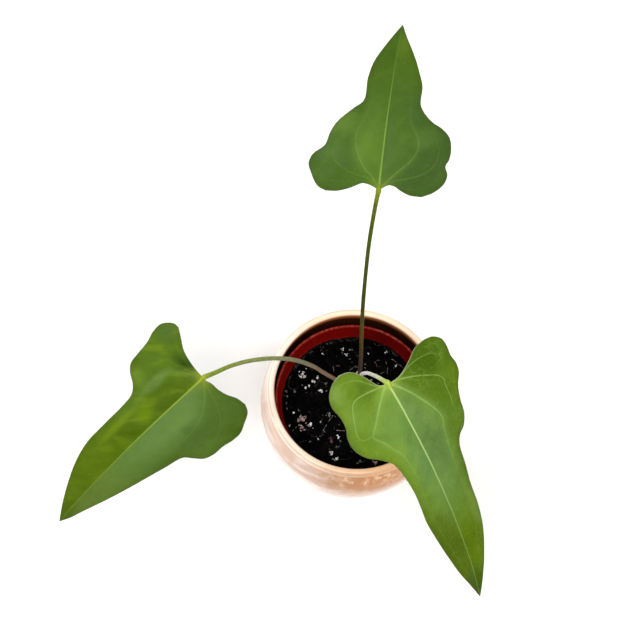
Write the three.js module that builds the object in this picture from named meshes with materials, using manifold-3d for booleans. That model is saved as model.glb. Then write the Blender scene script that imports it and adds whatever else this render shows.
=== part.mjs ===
// A young anthurium with three arrow-shaped leaves, in a plastic nursery pot that stands in a glazed cachepot.
// Millimetres, +Z up. The origin is the middle of the cachepot's flat underside.
import * as THREE from 'three';
import { mergeVertices } from 'three/addons/utils/BufferGeometryUtils.js';
import Module from 'manifold-3d';

const wasm = await Module();
wasm.setup();

// Air left between two pieces that touch
const CLEARANCE = 0.3;

// Cachepot
const POT_HEIGHT = 108;
const FOOT_RADIUS = 46;
const FOOT_BEVEL = 1.6;
const BELLY_RADIUS = 66.6;
const BELLY_Z = 80;
const SHOULDER_RADIUS = 60;
const SHOULDER_Z = 100;
const GROOVE_DEPTH = 0.3;
const GROOVE_HEIGHT = 1.2;
const POT_WALL = 3.2;
const POT_FLOOR = 6;
const POT_FLOOR_FILLET = 4;
const POT_SEGMENTS = 54;
const POT_OUTSIDE_ROWS = 9;
const POT_INSIDE_ROWS = 6;
// Section of the rolled lip, from its outer foot over the top to its inner edge: radius and depth below the top
const LIP_SECTION = [
  [61, 5.2], [61.3, 3.2], [60.7, 1.2], [58.9, 0], [57.1, 0.2], [56.2, 1.2], [56, 2.6], [56.3, 4.6],
];

// Nursery pot, which stands level on the cachepot's floor, a little nearer its front.
// Its upper part is a wider collar that widens further to a narrow rim.
const NURSERY_HEIGHT = 90.2;
const NURSERY_BASE_RADIUS = 36.5;
const NURSERY_BASE_BEVEL = 1;
const NURSERY_COLLAR_RADIUS = 55.1;
const NURSERY_COLLAR_HEIGHT = 13;
const NURSERY_COLLAR_TAPER = 2.8;
const NURSERY_RIM_RADIUS = 55.6;
const NURSERY_RIM_DROP = 2.4;
const NURSERY_RIM_BEVEL = 0.4;
const NURSERY_STEP = 1;
const NURSERY_WALL = 1.1;
const NURSERY_SHIFT_X = -0.1;
const NURSERY_SHIFT_Y = -2.4;
const NURSERY_SEGMENTS = 48;
const DRAIN_HOLES = 8;
const DRAIN_HOLE_RADIUS = 3.5;
const DRAIN_CIRCLE_RADIUS = 25;

// Soil
const SOIL_LEVEL = NURSERY_HEIGHT - 14;
const SOIL_GAP = 0.4;
const SOIL_SHOULDER = 0.8;
const SOIL_RINGS = 8;
const SOIL_BUMP = 0.8;
const GRAIN_COUNT = 48;
const GRAIN_SMALLEST = 0.9;
const GRAIN_LARGEST = 1.9;
const GRAIN_SINK = 0.25;
const GRAIN_SEED = 7;

// Plant: its origin is where the short stem leaves the soil
const PLANT_PLACE = new THREE.Vector3(1.24, 8.97, 82.5);
// Section of the stem from its foot in the soil to its domed top: radius and height
const STEM_SECTION = [[0, -8.5], [3.4, -7.6], [4.6, -4], [5.4, -0.5], [5.4, 1.6], [4.6, 3.6], [2.6, 4.9], [0, 5.3]];
const ROOT_COUNT = 5;
const ROOT_RADIUS = 1.5;
const ROOT_THINNING = 0.55;
const ROOT_DEPTH = 50;
const ROOT_REACH = 24;
const ROOT_SEED = 3;
const BUD_RADIUS = 1;
const BUD_THINNING = 0.35;

// Blades
const BLADE_THICKNESS = 0.8;
const BLADE_STEPS_LONG = 24;
const BLADE_STEPS_ACROSS = 6;
const BLADE_TIP_SPREAD = 1.5;
const BLADE_EDGE_SPREAD = 1.15;
const BLADE_GUTTER = 0.12;
const BLADE_DISH = 0.0035;
const WAVE_HEIGHT = 2;
const WAVE_LENGTH = 38;
const WAVE_HALF_WIDTH = 40;
const LOBE_DROOP = 3;
const LOBE_FRONT = 12;
const LOBE_DEPTH = 25;
const JOINT_RADIUS = 2.1;
const MIDRIB_RADIUS = 1.15;
const MIDRIB_THINNING = 0.6;
const MIDRIB_SHARE = 0.93;
const MIDRIB_DROP = 0.75;

// Each leaf: where its stalk runs and how thick it is, how its blade hangs, and the outline of the blade.
// An outline runs from the joint with the stalk. notch goes out along the back edge of a lobe,
// and edge goes on round the lobe and forwards to the tip. Left is negative, seen from above with the tip ahead.
const LEAVES = {
  back: {
    stalk: [
      [1.2, 2.8, 1.2], [1.7, 6.6, 22.4], [0.3, 17, 47.4], [-1.1, 28.3, 68.7], [-1.6, 42.6, 92.4],
      [-1.3, 56.6, 113.4], [0.2, 70.2, 131.6], [1.4, 77.5, 139.5],
    ],
    stalkRadius: [1.9, 1.3, 1.5],
    heading: 85, pitch: -11.5, bank: 9, bend: 28, length: 142.5,
    wavePhase: [0.1, 0.55],
    left: {
      notch: [[-5, 2.5], [-10, 3.5], [-17.5, 0], [-24.5, -2], [-32.5, -2]],
      edge: [
        [-38, 1], [-42.5, 8.5], [-46, 18], [-44.5, 24.5], [-37, 30], [-34.5, 37.5], [-30.5, 46], [-22, 57],
        [-16.5, 63], [-16, 82.5], [-14, 98.5], [-8, 117],
      ],
    },
    right: {
      notch: [[5.5, 3], [9, 2.5], [13.5, -0.5], [19, -3], [26, -3.5]],
      edge: [
        [32.5, 0], [38.5, 7], [40, 13], [38.5, 17.5], [40.5, 22], [41, 29], [39, 39], [34.5, 44.5], [28, 48.5],
        [23, 54], [20, 60], [19.5, 76], [16, 90], [10, 109.5], [4.5, 126],
      ],
    },
  },
  left: {
    stalk: [
      [-3, -0.6, 1.2], [-9.2, -3.8, 18.4], [-17.3, -5.8, 34.1], [-25.1, -7.8, 50.1], [-31.9, -9.4, 64],
      [-45.8, -12.8, 81.6], [-58.2, -16, 88.6], [-70.2, -19.1, 90.3], [-81.3, -21.6, 86.5], [-90.2, -23.8, 80.2],
      [-98.7, -25.9, 74.5],
    ],
    stalkRadius: [1.9, 1.3, 1.6],
    heading: 228, pitch: 8, bank: 11, bend: 40, length: 142.5,
    wavePhase: [0.35, 0.8],
    left: {
      notch: [[-2, 0.5], [-6, -0.8], [-12.5, -1.5], [-18, -3.2], [-24, -6.3], [-30, -7.5]],
      edge: [
        [-34.5, -5.5], [-38.5, 1], [-41, 6.5], [-41, 13], [-39.7, 20], [-39.5, 27], [-37.5, 33], [-32.5, 38],
        [-28, 42.5], [-24.5, 56], [-21, 70], [-17.5, 84], [-13.5, 98.5], [-8, 117], [-4, 131.5],
      ],
    },
    right: {
      notch: [[2.5, 0.5], [11.5, 0], [21, -2], [28.5, -6], [35, -9.5]],
      edge: [
        [38.5, -9.3], [42, -7], [45, -2.5], [44, 4], [40.5, 11.5], [39, 20], [38, 27.5], [34.5, 31.5],
        [27, 35.5], [23, 40], [21.5, 49], [21.5, 65.5], [21.5, 80], [19.5, 91], [15.5, 105], [9, 121.5],
      ],
    },
  },
  right: {
    stalk: [
      [1.8, -2.2, 1.2], [1.3, -4.5, 24.4], [1.4, -5.8, 43.9], [3.3, -11, 61.5], [7.2, -21.6, 85.7],
      [10.2, -29.8, 101.7], [12.3, -35.6, 112.5],
    ],
    stalkRadius: [1.8, 1.2, 1.45],
    heading: 304, pitch: 7.5, bank: 4, bend: 44, length: 147,
    wavePhase: [0.6, 0.15],
    left: {
      notch: [[-1.5, 0.5], [-7, 0], [-12, -2], [-18, -5.5], [-25.5, -10.5], [-33.5, -12.5]],
      edge: [
        [-40, -12], [-44.5, -8.5], [-45.5, -3.5], [-44.8, 3], [-45.3, 8], [-43, 13.5], [-36.5, 21], [-33.7, 28],
        [-32.5, 36], [-29, 42], [-23.5, 46], [-20.5, 51], [-18.5, 62], [-17, 72], [-16.5, 85], [-14.5, 99],
        [-10, 116.5], [-5, 132],
      ],
    },
    right: {
      notch: [[2.5, 0], [5.5, -1], [8, -4.5], [12, -11.5], [17, -16], [23, -17]],
      edge: [
        [28.5, -14.5], [34, -8.5], [36, -2], [35, 5], [35, 11], [36.7, 17.5], [36, 25], [32.5, 31], [26, 36],
        [20.5, 41.5], [18, 50], [16.5, 61.5], [16.8, 71], [17.3, 79], [15, 94.5], [9.5, 119], [4, 135],
      ],
    },
  },
};
const STALK_STEPS = 26;
const STALK_SIDES = 8;
const STALK_FOOT_SHARE = 0.16;
const STALK_HEAD_SHARE = 0.05;

// Colours and surfaces
const FINISH = {
  glaze: { color: 0xf4dcc8, roughness: 0.22, metalness: 0 },
  darkRedPlastic: { color: 0x5c0f0c, roughness: 0.5, metalness: 0 },
  pottingMix: { color: 0x17120f, roughness: 0.95, metalness: 0 },
  stem: { color: 0x5b5140, roughness: 0.7, metalness: 0 },
  stalk: { color: 0x6f7a45, roughness: 0.45, metalness: 0 },
  blade: { color: 0x54802c, roughness: 0.38, metalness: 0 },
  bud: { color: 0xd8d2b8, roughness: 0.5, metalness: 0 },
};

// A repeatable random number from 0 to 1
function seededRandom(seed) {
  let state = seed >>> 0;
  return () => {
    state = (state + 0x6d2b79f5) >>> 0;
    let t = state;
    t = Math.imul(t ^ (t >>> 15), t | 1);
    t ^= t + Math.imul(t ^ (t >>> 7), t | 61);
    return ((t ^ (t >>> 14)) >>> 0) / 4294967296;
  };
}

function toSolid(geometry) {
  const bare = geometry.clone();
  bare.deleteAttribute('normal');
  bare.deleteAttribute('uv');
  const merged = mergeVertices(bare, 1e-4);
  return new wasm.Manifold(new wasm.Mesh({
    numProp: 3,
    vertProperties: new Float32Array(merged.attributes.position.array),
    triVerts: new Uint32Array(merged.index.array),
  }));
}

function toGeometry(solid) {
  const mesh = solid.getMesh();
  const geometry = new THREE.BufferGeometry();
  geometry.setAttribute('position', new THREE.BufferAttribute(mesh.vertProperties, 3));
  geometry.setIndex(new THREE.BufferAttribute(mesh.triVerts, 1));
  geometry.computeVertexNormals();
  return geometry;
}

function makeMesh(name, geometry, finish) {
  const mesh = new THREE.Mesh(geometry, new THREE.MeshStandardMaterial(finish));
  mesh.name = name;
  return mesh;
}

// A solid of revolution about Z from [radius, z] points that start and end on the axis
function turned(points, segments) {
  const profile = points.map(([r, z]) => new THREE.Vector2(r, z));
  const geometry = new THREE.LatheGeometry(profile, segments);
  geometry.rotateX(Math.PI / 2);
  return geometry;
}

// A round bar along a curve, whose radius follows radiusAt(t), closed at both ends
function taperedBar(curve, radiusAt, steps, sides) {
  const frames = curve.computeFrenetFrames(steps, false);
  const positions = [];
  const index = [];
  const along = new THREE.Vector3();
  for (let i = 0; i <= steps; i += 1) {
    const centre = curve.getPointAt(i / steps);
    for (let j = 0; j < sides; j += 1) {
      const angle = (2 * Math.PI * j) / sides;
      along.copy(frames.normals[i]).multiplyScalar(Math.cos(angle) * radiusAt(i / steps));
      along.addScaledVector(frames.binormals[i], Math.sin(angle) * radiusAt(i / steps));
      along.add(centre);
      positions.push(along.x, along.y, along.z);
    }
  }
  for (let i = 0; i < steps; i += 1) {
    for (let j = 0; j < sides; j += 1) {
      const a = i * sides + j;
      const b = i * sides + ((j + 1) % sides);
      index.push(a, b, b + sides, a, b + sides, a + sides);
    }
  }
  for (const [ring, flip] of [[0, true], [steps, false]]) {
    const centre = curve.getPointAt(ring / steps);
    const middle = positions.length / 3;
    positions.push(centre.x, centre.y, centre.z);
    for (let j = 0; j < sides; j += 1) {
      const a = ring * sides + j;
      const b = ring * sides + ((j + 1) % sides);
      index.push(middle, flip ? b : a, flip ? a : b);
    }
  }
  const geometry = new THREE.BufferGeometry();
  geometry.setAttribute('position', new THREE.Float32BufferAttribute(positions, 3));
  geometry.setIndex(index);
  return geometry;
}

function smoothCurve(points) {
  return new THREE.CatmullRomCurve3(points.map((p) => new THREE.Vector3(...p)), false, 'centripetal');
}

// Outer radius of the cachepot at a height between the foot and the shoulder
function bellyRadius(z) {
  if (z < BELLY_Z) {
    const below = (BELLY_Z - z) / BELLY_Z;
    return BELLY_RADIUS - (BELLY_RADIUS - FOOT_RADIUS) * below * below;
  }
  const above = (z - BELLY_Z) / (SHOULDER_Z - BELLY_Z);
  return BELLY_RADIUS - (BELLY_RADIUS - SHOULDER_RADIUS) * above * above;
}

function cachepotGeometry() {
  const outside = [[0, 0], [FOOT_RADIUS - FOOT_BEVEL, 0]];
  for (let z = FOOT_BEVEL; z < SHOULDER_Z; z += (SHOULDER_Z - FOOT_BEVEL) / POT_OUTSIDE_ROWS) {
    outside.push([bellyRadius(z), z]);
  }
  outside.push([SHOULDER_RADIUS, SHOULDER_Z], [SHOULDER_RADIUS - GROOVE_DEPTH, SHOULDER_Z + GROOVE_HEIGHT]);
  const lip = LIP_SECTION.map(([radius, depth]) => [radius, POT_HEIGHT - depth]);
  const inside = [];
  const lowest = POT_FLOOR + POT_FLOOR_FILLET;
  for (let z = SHOULDER_Z; z > lowest; z -= (SHOULDER_Z - lowest) / POT_INSIDE_ROWS) {
    inside.push([bellyRadius(z) - POT_WALL, z]);
  }
  const corner = bellyRadius(lowest) - POT_WALL;
  inside.push([corner, lowest], [corner - POT_FLOOR_FILLET, POT_FLOOR], [0, POT_FLOOR]);
  return turned([...outside, ...lip, ...inside], POT_SEGMENTS);
}

// Inner radius of the nursery pot's wall below its collar, at a height above its underside
function nurseryInside(z) {
  const top = NURSERY_COLLAR_RADIUS - NURSERY_COLLAR_TAPER - NURSERY_WALL - NURSERY_STEP;
  const bottom = NURSERY_BASE_RADIUS - NURSERY_WALL;
  return bottom + ((top - bottom) * z) / (NURSERY_HEIGHT - NURSERY_COLLAR_HEIGHT);
}

function nurseryPotGeometry() {
  const collarFoot = NURSERY_HEIGHT - NURSERY_COLLAR_HEIGHT;
  const rimFoot = NURSERY_HEIGHT - NURSERY_RIM_DROP;
  const narrow = NURSERY_COLLAR_RADIUS - NURSERY_COLLAR_TAPER;
  const points = [[0, 0], [NURSERY_BASE_RADIUS - NURSERY_BASE_BEVEL, 0], [NURSERY_BASE_RADIUS, NURSERY_BASE_BEVEL]];
  points.push([nurseryInside(collarFoot / 2) + NURSERY_WALL, collarFoot / 2]);
  points.push([nurseryInside(collarFoot) + NURSERY_WALL, collarFoot - NURSERY_WALL], [narrow, collarFoot]);
  points.push([NURSERY_COLLAR_RADIUS, rimFoot], [NURSERY_RIM_RADIUS, rimFoot]);
  points.push([NURSERY_RIM_RADIUS, NURSERY_HEIGHT - NURSERY_RIM_BEVEL]);
  points.push([NURSERY_RIM_RADIUS - NURSERY_RIM_BEVEL, NURSERY_HEIGHT]);
  points.push([NURSERY_COLLAR_RADIUS - NURSERY_WALL + NURSERY_RIM_BEVEL, NURSERY_HEIGHT]);
  points.push([NURSERY_COLLAR_RADIUS - NURSERY_WALL, NURSERY_HEIGHT - NURSERY_RIM_BEVEL]);
  points.push([narrow - NURSERY_WALL, collarFoot + NURSERY_WALL], [nurseryInside(collarFoot), collarFoot]);
  points.push([nurseryInside(collarFoot / 2), collarFoot / 2]);
  points.push([nurseryInside(NURSERY_WALL), NURSERY_WALL], [0, NURSERY_WALL]);
  let pot = toSolid(turned(points, NURSERY_SEGMENTS));
  for (let i = 0; i < DRAIN_HOLES; i += 1) {
    const angle = (2 * Math.PI * i) / DRAIN_HOLES;
    const drill = new THREE.CylinderGeometry(DRAIN_HOLE_RADIUS, DRAIN_HOLE_RADIUS, 4 * NURSERY_WALL, 10);
    drill.rotateX(Math.PI / 2);
    drill.translate(DRAIN_CIRCLE_RADIUS * Math.cos(angle), DRAIN_CIRCLE_RADIUS * Math.sin(angle), 0);
    pot = pot.subtract(toSolid(drill));
  }
  return toGeometry(pot);
}

// Height of the uneven soil over its mean level
function soilBump(x, y) {
  const coarse = Math.sin(x / 6.1 + 0.7) * Math.cos(y / 7.3 - 0.4);
  const fine = Math.sin(x / 2.9 - y / 3.7 + 1.9) + Math.sin(x / 4.3 + y / 2.7);
  return SOIL_BUMP * (0.9 * coarse + 0.35 * fine);
}

// The soil fills the nursery pot; hole is the solid that the plant's stem and roots stand in
function soilGeometry(hole) {
  const floor = NURSERY_WALL + CLEARANCE;
  const edge = nurseryInside(SOIL_LEVEL) - SOIL_GAP;
  const points = [[0, floor], [nurseryInside(floor) - SOIL_GAP, floor]];
  points.push([nurseryInside(SOIL_LEVEL / 2) - SOIL_GAP, SOIL_LEVEL / 2], [edge, SOIL_LEVEL - 2 * SOIL_SHOULDER]);
  for (let i = 0; i <= SOIL_RINGS; i += 1) {
    points.push([(edge - SOIL_SHOULDER) * (1 - i / SOIL_RINGS), SOIL_LEVEL]);
  }
  const body = turned(points, NURSERY_SEGMENTS);
  const position = body.attributes.position;
  for (let i = 0; i < position.count; i += 1) {
    if (position.getZ(i) > SOIL_LEVEL - 0.01) {
      position.setZ(i, SOIL_LEVEL + soilBump(position.getX(i), position.getY(i)));
    }
  }
  let soil = toSolid(body);
  const random = seededRandom(GRAIN_SEED);
  for (let i = 0; i < GRAIN_COUNT; i += 1) {
    const reach = (edge - 5) * Math.sqrt(0.05 + 0.95 * random());
    const angle = 2 * Math.PI * random();
    const size = GRAIN_SMALLEST + (GRAIN_LARGEST - GRAIN_SMALLEST) * random() ** 2;
    const grain = new THREE.OctahedronGeometry(size, 0);
    grain.scale(1, 0.75 + 0.25 * random(), 0.8);
    grain.rotateX(6 * random());
    grain.rotateY(6 * random());
    const x = reach * Math.cos(angle);
    const y = reach * Math.sin(angle);
    grain.translate(x, y, SOIL_LEVEL + soilBump(x, y) + size * GRAIN_SINK);
    soil = soil.add(toSolid(grain));
  }
  return toGeometry(soil.subtract(hole));
}

// Short stem with its roots. grow makes it fatter all round, for the hole it stands in.
function stemSolid(grow) {
  const section = STEM_SECTION.map(([radius, z]) => [radius && radius + grow, z + Math.sign(z) * grow]);
  let stem = toSolid(turned(section, 16));
  const random = seededRandom(ROOT_SEED);
  for (let i = 0; i < ROOT_COUNT; i += 1) {
    const angle = (2 * Math.PI * (i + 0.5 * random())) / ROOT_COUNT;
    const reach = ROOT_REACH * (0.7 + 0.3 * random());
    const depth = ROOT_DEPTH * (0.6 + 0.4 * random()) + grow;
    const side = (share) => [share * reach * Math.cos(angle), share * reach * Math.sin(angle)];
    const curve = smoothCurve([
      [...side(0.05), -3], [...side(0.3), -6 - 0.12 * depth], [...side(0.75), -0.5 * depth], [...side(1), -depth],
    ]);
    const radiusAt = (t) => ROOT_RADIUS * (1 - ROOT_THINNING * t) + grow;
    stem = stem.add(toSolid(taperedBar(curve, radiusAt, 9, 6)));
  }
  return stem;
}

// Radius along a stalk: thick where it leaves the stem, slim in the middle, swollen at the blade
function stalkRadiusAt(leaf, t) {
  const [base, middle, top] = leaf.stalkRadius;
  const foot = Math.exp(-t / STALK_FOOT_SHARE);
  const head = Math.exp(-(1 - t) / STALK_HEAD_SHARE);
  return middle + (base - middle) * foot + (top - middle) * head;
}

// The stalk stops short of the blade's joint by the joint's radius. grow makes it fatter, for its socket.
function stalkGeometry(leaf, grow) {
  const points = leaf.stalk.map((p) => new THREE.Vector3(...p));
  const end = points[points.length - 1];
  const back = points[points.length - 2].clone().sub(end).normalize();
  end.addScaledVector(back, JOINT_RADIUS + CLEARANCE);
  const down = points[0].clone().sub(points[1]).normalize();
  points[0].addScaledVector(down, grow);
  const curve = new THREE.CatmullRomCurve3(points, false, 'centripetal');
  return taperedBar(curve, (t) => stalkRadiusAt(leaf, t) + grow, STALK_STEPS, STALK_SIDES);
}

// Height of a blade over its bent midrib sheet: a shallow gutter, a dished half, waved edges, drooping lobes
function bladeRelief(leaf, x, y) {
  const out = Math.abs(x);
  const edge = Math.min(out / WAVE_HALF_WIDTH, 1.2) ** 2;
  const phase = leaf.wavePhase[x < 0 ? 0 : 1];
  const wave = WAVE_HEIGHT * edge * Math.sin(2 * Math.PI * (y / WAVE_LENGTH + phase));
  const behind = THREE.MathUtils.clamp((LOBE_FRONT - y) / LOBE_DEPTH, 0, 1);
  return BLADE_GUTTER * out - BLADE_DISH * out * out + wave - LOBE_DROOP * edge * behind * behind;
}

// A flat point of the blade on its curled surface: the midrib is an arc that starts level at the joint
function curled(leaf, x, y, lift) {
  const turn = THREE.MathUtils.degToRad(leaf.bend) / leaf.length;
  const rate = y < 0 ? 0.4 * turn : turn;
  const angle = rate * y;
  const height = bladeRelief(leaf, x, y) + lift;
  return new THREE.Vector3(
    x,
    Math.sin(angle) / rate + height * Math.sin(angle),
    (Math.cos(angle) - 1) / rate + height * Math.cos(angle),
  );
}

// One half of the flat blade as a patch: u runs along the midrib and the edge, v from the midrib to the edge
function halfBlade(leaf, half) {
  const flat = (points) => new THREE.CatmullRomCurve3(
    points.map(([x, y]) => new THREE.Vector3(x, y, 0)), false, 'centripetal',
  );
  const notch = flat([[0, 0], ...half.notch]);
  const corner = half.notch[half.notch.length - 1];
  const edge = flat([corner, ...half.edge, [0, leaf.length]]);
  return (u, v) => {
    const rim = edge.getPointAt(u);
    const back = notch.getPointAt(v);
    const fade = (1 - u) ** 3;
    return [
      v * rim.x + fade * (back.x - v * corner[0]),
      (1 - v) * leaf.length * u ** BLADE_TIP_SPREAD + v * rim.y + fade * (back.y - v * corner[1]),
    ];
  };
}

// The blade's middle surface as a list of points and triangles that share their corners
function bladeSheet(leaf) {
  const points = [];
  const triangles = [];
  const known = new Map();
  const corner = ([x, y]) => {
    const key = `${x.toFixed(3)},${y.toFixed(3)}`;
    if (!known.has(key)) {
      known.set(key, points.length);
      points.push(curled(leaf, x, y, 0));
    }
    return known.get(key);
  };
  for (const [half, flip] of [[leaf.left, false], [leaf.right, true]]) {
    const patch = halfBlade(leaf, half);
    const at = (i, j) => {
      if (i === BLADE_STEPS_LONG) {
        return corner([0, leaf.length]);
      }
      const u = i / BLADE_STEPS_LONG;
      const v = (j / BLADE_STEPS_ACROSS) ** BLADE_EDGE_SPREAD;
      return corner(j === 0 ? [0, leaf.length * u ** BLADE_TIP_SPREAD] : patch(u, v));
    };
    for (let i = 0; i < BLADE_STEPS_LONG; i += 1) {
      for (let j = 0; j < BLADE_STEPS_ACROSS; j += 1) {
        const quad = [at(i, j), at(i, j + 1), at(i + 1, j + 1), at(i + 1, j)];
        for (const [a, b, c] of [[quad[0], quad[3], quad[2]], [quad[0], quad[2], quad[1]]]) {
          if (a !== b && b !== c && c !== a) {
            triangles.push(flip ? [a, c, b] : [a, b, c]);
          }
        }
      }
    }
  }
  return { points, triangles };
}

// Gives a sheet its thickness, with the same triangles on both faces and a band round the edge
function thickened({ points, triangles }, thickness) {
  const normals = points.map(() => new THREE.Vector3());
  const edges = new Map();
  for (const [a, b, c] of triangles) {
    const across = points[b].clone().sub(points[a]).cross(points[c].clone().sub(points[a]));
    for (const [from, to] of [[a, b], [b, c], [c, a]]) {
      normals[from].add(across);
      if (edges.has(`${to},${from}`)) {
        edges.delete(`${to},${from}`);
      } else {
        edges.set(`${from},${to}`, [from, to]);
      }
    }
  }
  const positions = [];
  for (const side of [0.5, -0.5]) {
    points.forEach((point, i) => {
      const moved = point.clone().addScaledVector(normals[i].clone().normalize(), side * thickness);
      positions.push(moved.x, moved.y, moved.z);
    });
  }
  const under = points.length;
  const index = [];
  for (const [a, b, c] of triangles) {
    index.push(a, b, c, a + under, c + under, b + under);
  }
  for (const [from, to] of edges.values()) {
    index.push(to, from, from + under, to, from + under, to + under);
  }
  const geometry = new THREE.BufferGeometry();
  geometry.setAttribute('position', new THREE.Float32BufferAttribute(positions, 3));
  geometry.setIndex(index);
  return geometry;
}

// Blade with the swollen joint that meets its stalk and the raised midrib on its underside
function bladeGeometry(leaf) {
  let blade = toSolid(thickened(bladeSheet(leaf), BLADE_THICKNESS));
  const ribPoints = [];
  const ribRadius = (share) => MIDRIB_RADIUS * (1 - MIDRIB_THINNING * share);
  for (let share = 0; share <= 1; share += 0.125) {
    ribPoints.push(curled(leaf, 0, MIDRIB_SHARE * leaf.length * share, -MIDRIB_DROP * ribRadius(share)));
  }
  const rib = new THREE.CatmullRomCurve3(ribPoints, false, 'centripetal');
  blade = blade.add(toSolid(taperedBar(rib, ribRadius, 20, 7)));
  const joint = new THREE.SphereGeometry(JOINT_RADIUS, 10, 8);
  joint.rotateX(Math.PI / 2);
  return toGeometry(blade.add(toSolid(joint)));
}

// Young leaf still rolled up, as a pale spike beside the stalks. grow makes it fatter, for its socket.
function budGeometry(grow) {
  const curve = smoothCurve([[-2.4, 3.6, 2.4 - grow], [-1.4, 5.6, 7.4], [0.9, 8.9, 12]]);
  return taperedBar(curve, (t) => BUD_RADIUS * (1 - BUD_THINNING * t) + grow, 6, 7);
}

const plant = new THREE.Group();
plant.position.copy(PLANT_PLACE);

const nursery = new THREE.Group();
nursery.position.set(NURSERY_SHIFT_X, NURSERY_SHIFT_Y, POT_FLOOR + CLEARANCE);

// From the plant's own frame to the nursery pot's
plant.updateMatrixWorld();
nursery.updateMatrixWorld();
const plantToNursery = nursery.matrixWorld.clone().invert().multiply(plant.matrixWorld);
const hole = toSolid(toGeometry(stemSolid(CLEARANCE)).applyMatrix4(plantToNursery));

nursery.add(makeMesh('nursery_pot', nurseryPotGeometry(), FINISH.darkRedPlastic));
nursery.add(makeMesh('soil', soilGeometry(hole), FINISH.pottingMix));

let stem = stemSolid(0).subtract(toSolid(budGeometry(CLEARANCE)));
for (const leaf of Object.values(LEAVES)) {
  stem = stem.subtract(toSolid(stalkGeometry(leaf, CLEARANCE)));
}
plant.add(makeMesh('stem_and_roots', toGeometry(stem), FINISH.stem));
plant.add(makeMesh('bud', budGeometry(0), FINISH.bud));
for (const [name, leaf] of Object.entries(LEAVES)) {
  plant.add(makeMesh(`stalk_${name}`, stalkGeometry(leaf, 0), FINISH.stalk));
  const blade = makeMesh(`blade_${name}`, bladeGeometry(leaf), FINISH.blade);
  const [pitch, bank, heading] = [leaf.pitch, leaf.bank, leaf.heading - 90].map(THREE.MathUtils.degToRad);
  blade.position.set(...leaf.stalk[leaf.stalk.length - 1]);
  blade.rotation.set(-pitch, -bank, heading, 'ZYX');
  plant.add(blade);
}

const pottedPlant = new THREE.Group();
pottedPlant.add(makeMesh('cachepot', cachepotGeometry(), FINISH.glaze));
pottedPlant.add(nursery);
pottedPlant.add(plant);

export default pottedPlant;
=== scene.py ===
# %% [markdown]
# # A young anthurium in a glazed cachepot
# The plant has three arrow-shaped leaves on thin stalks. It grows in a dark red nursery pot, which stands in
# a round glazed cachepot, a little nearer its front. A CAD model of it exists already, with plain solids.
# Here each solid gets a finer piece of the same form, in the same frame, with its real surface. Every new
# shape is a numpy formula on a grid of points. The plant's sizes are in millimetres until its points go into
# a mesh. The floor and the lamps are in metres.

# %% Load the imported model
import math
import bpy
import numpy as np
from mathutils import Matrix


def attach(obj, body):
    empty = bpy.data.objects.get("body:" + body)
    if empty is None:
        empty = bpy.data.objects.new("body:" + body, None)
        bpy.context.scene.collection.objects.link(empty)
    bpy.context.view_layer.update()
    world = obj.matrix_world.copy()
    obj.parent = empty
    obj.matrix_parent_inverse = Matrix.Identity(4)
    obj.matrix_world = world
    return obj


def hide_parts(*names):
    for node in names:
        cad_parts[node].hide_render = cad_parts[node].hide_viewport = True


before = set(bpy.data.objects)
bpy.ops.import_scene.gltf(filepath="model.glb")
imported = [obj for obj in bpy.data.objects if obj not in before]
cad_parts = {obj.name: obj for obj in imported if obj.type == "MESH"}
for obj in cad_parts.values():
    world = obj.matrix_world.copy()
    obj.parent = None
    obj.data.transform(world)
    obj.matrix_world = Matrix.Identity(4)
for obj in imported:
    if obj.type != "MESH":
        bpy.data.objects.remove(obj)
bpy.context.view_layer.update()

MM = 0.001
ROOT = "root"


# %% [markdown]
# ## The camera
# The photograph looks steeply down on the plant from the front. The camera is placed from three facts: where
# it stands, which way it looks, and which way is right in the picture. The right and the view direction give
# the up direction as their cross product. Depth of field stays off, so every leaf is sharp.

# %% Camera
CAMERA_PLACE = (-27.514, -180.057, 612.566)
CAMERA_RIGHT = (0.99784, 0.05979, 0.02724)
CAMERA_AHEAD = (0.0, 0.41466, -0.90998)
CAMERA_ANGLE = math.radians(45)
PICTURE_SIZE = 640

right = np.array(CAMERA_RIGHT) / np.linalg.norm(CAMERA_RIGHT)
ahead = np.array(CAMERA_AHEAD) / np.linalg.norm(CAMERA_AHEAD)
up = np.cross(right, ahead)
camera_data = bpy.data.cameras.new("camera")
camera_data.angle = CAMERA_ANGLE
camera = bpy.data.objects.new("camera", camera_data)
bpy.context.scene.collection.objects.link(camera)
turn = Matrix((right, up, -ahead)).transposed().to_4x4()
camera.matrix_world = Matrix.Translation(np.array(CAMERA_PLACE) * MM) @ turn
bpy.context.scene.camera = camera
focal_pixels = PICTURE_SIZE / 2 / math.tan(CAMERA_ANGLE / 2)  # from the lens to the picture, in pixels
print("Camera looks down by", round(math.degrees(math.asin(-ahead[2])), 1), "degrees")

# %% [markdown]
# ## Shader formulas
# A procedural material is a formula that Blender works out at every point of a surface. Dragging nodes for it
# is slow to read later, so one small class wraps a node's output and lets Python's own signs add the Math
# nodes: `1 - mask * 0.4` becomes two nodes. Colours go through Mix nodes, as a Math node would turn them
# grey.

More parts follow.
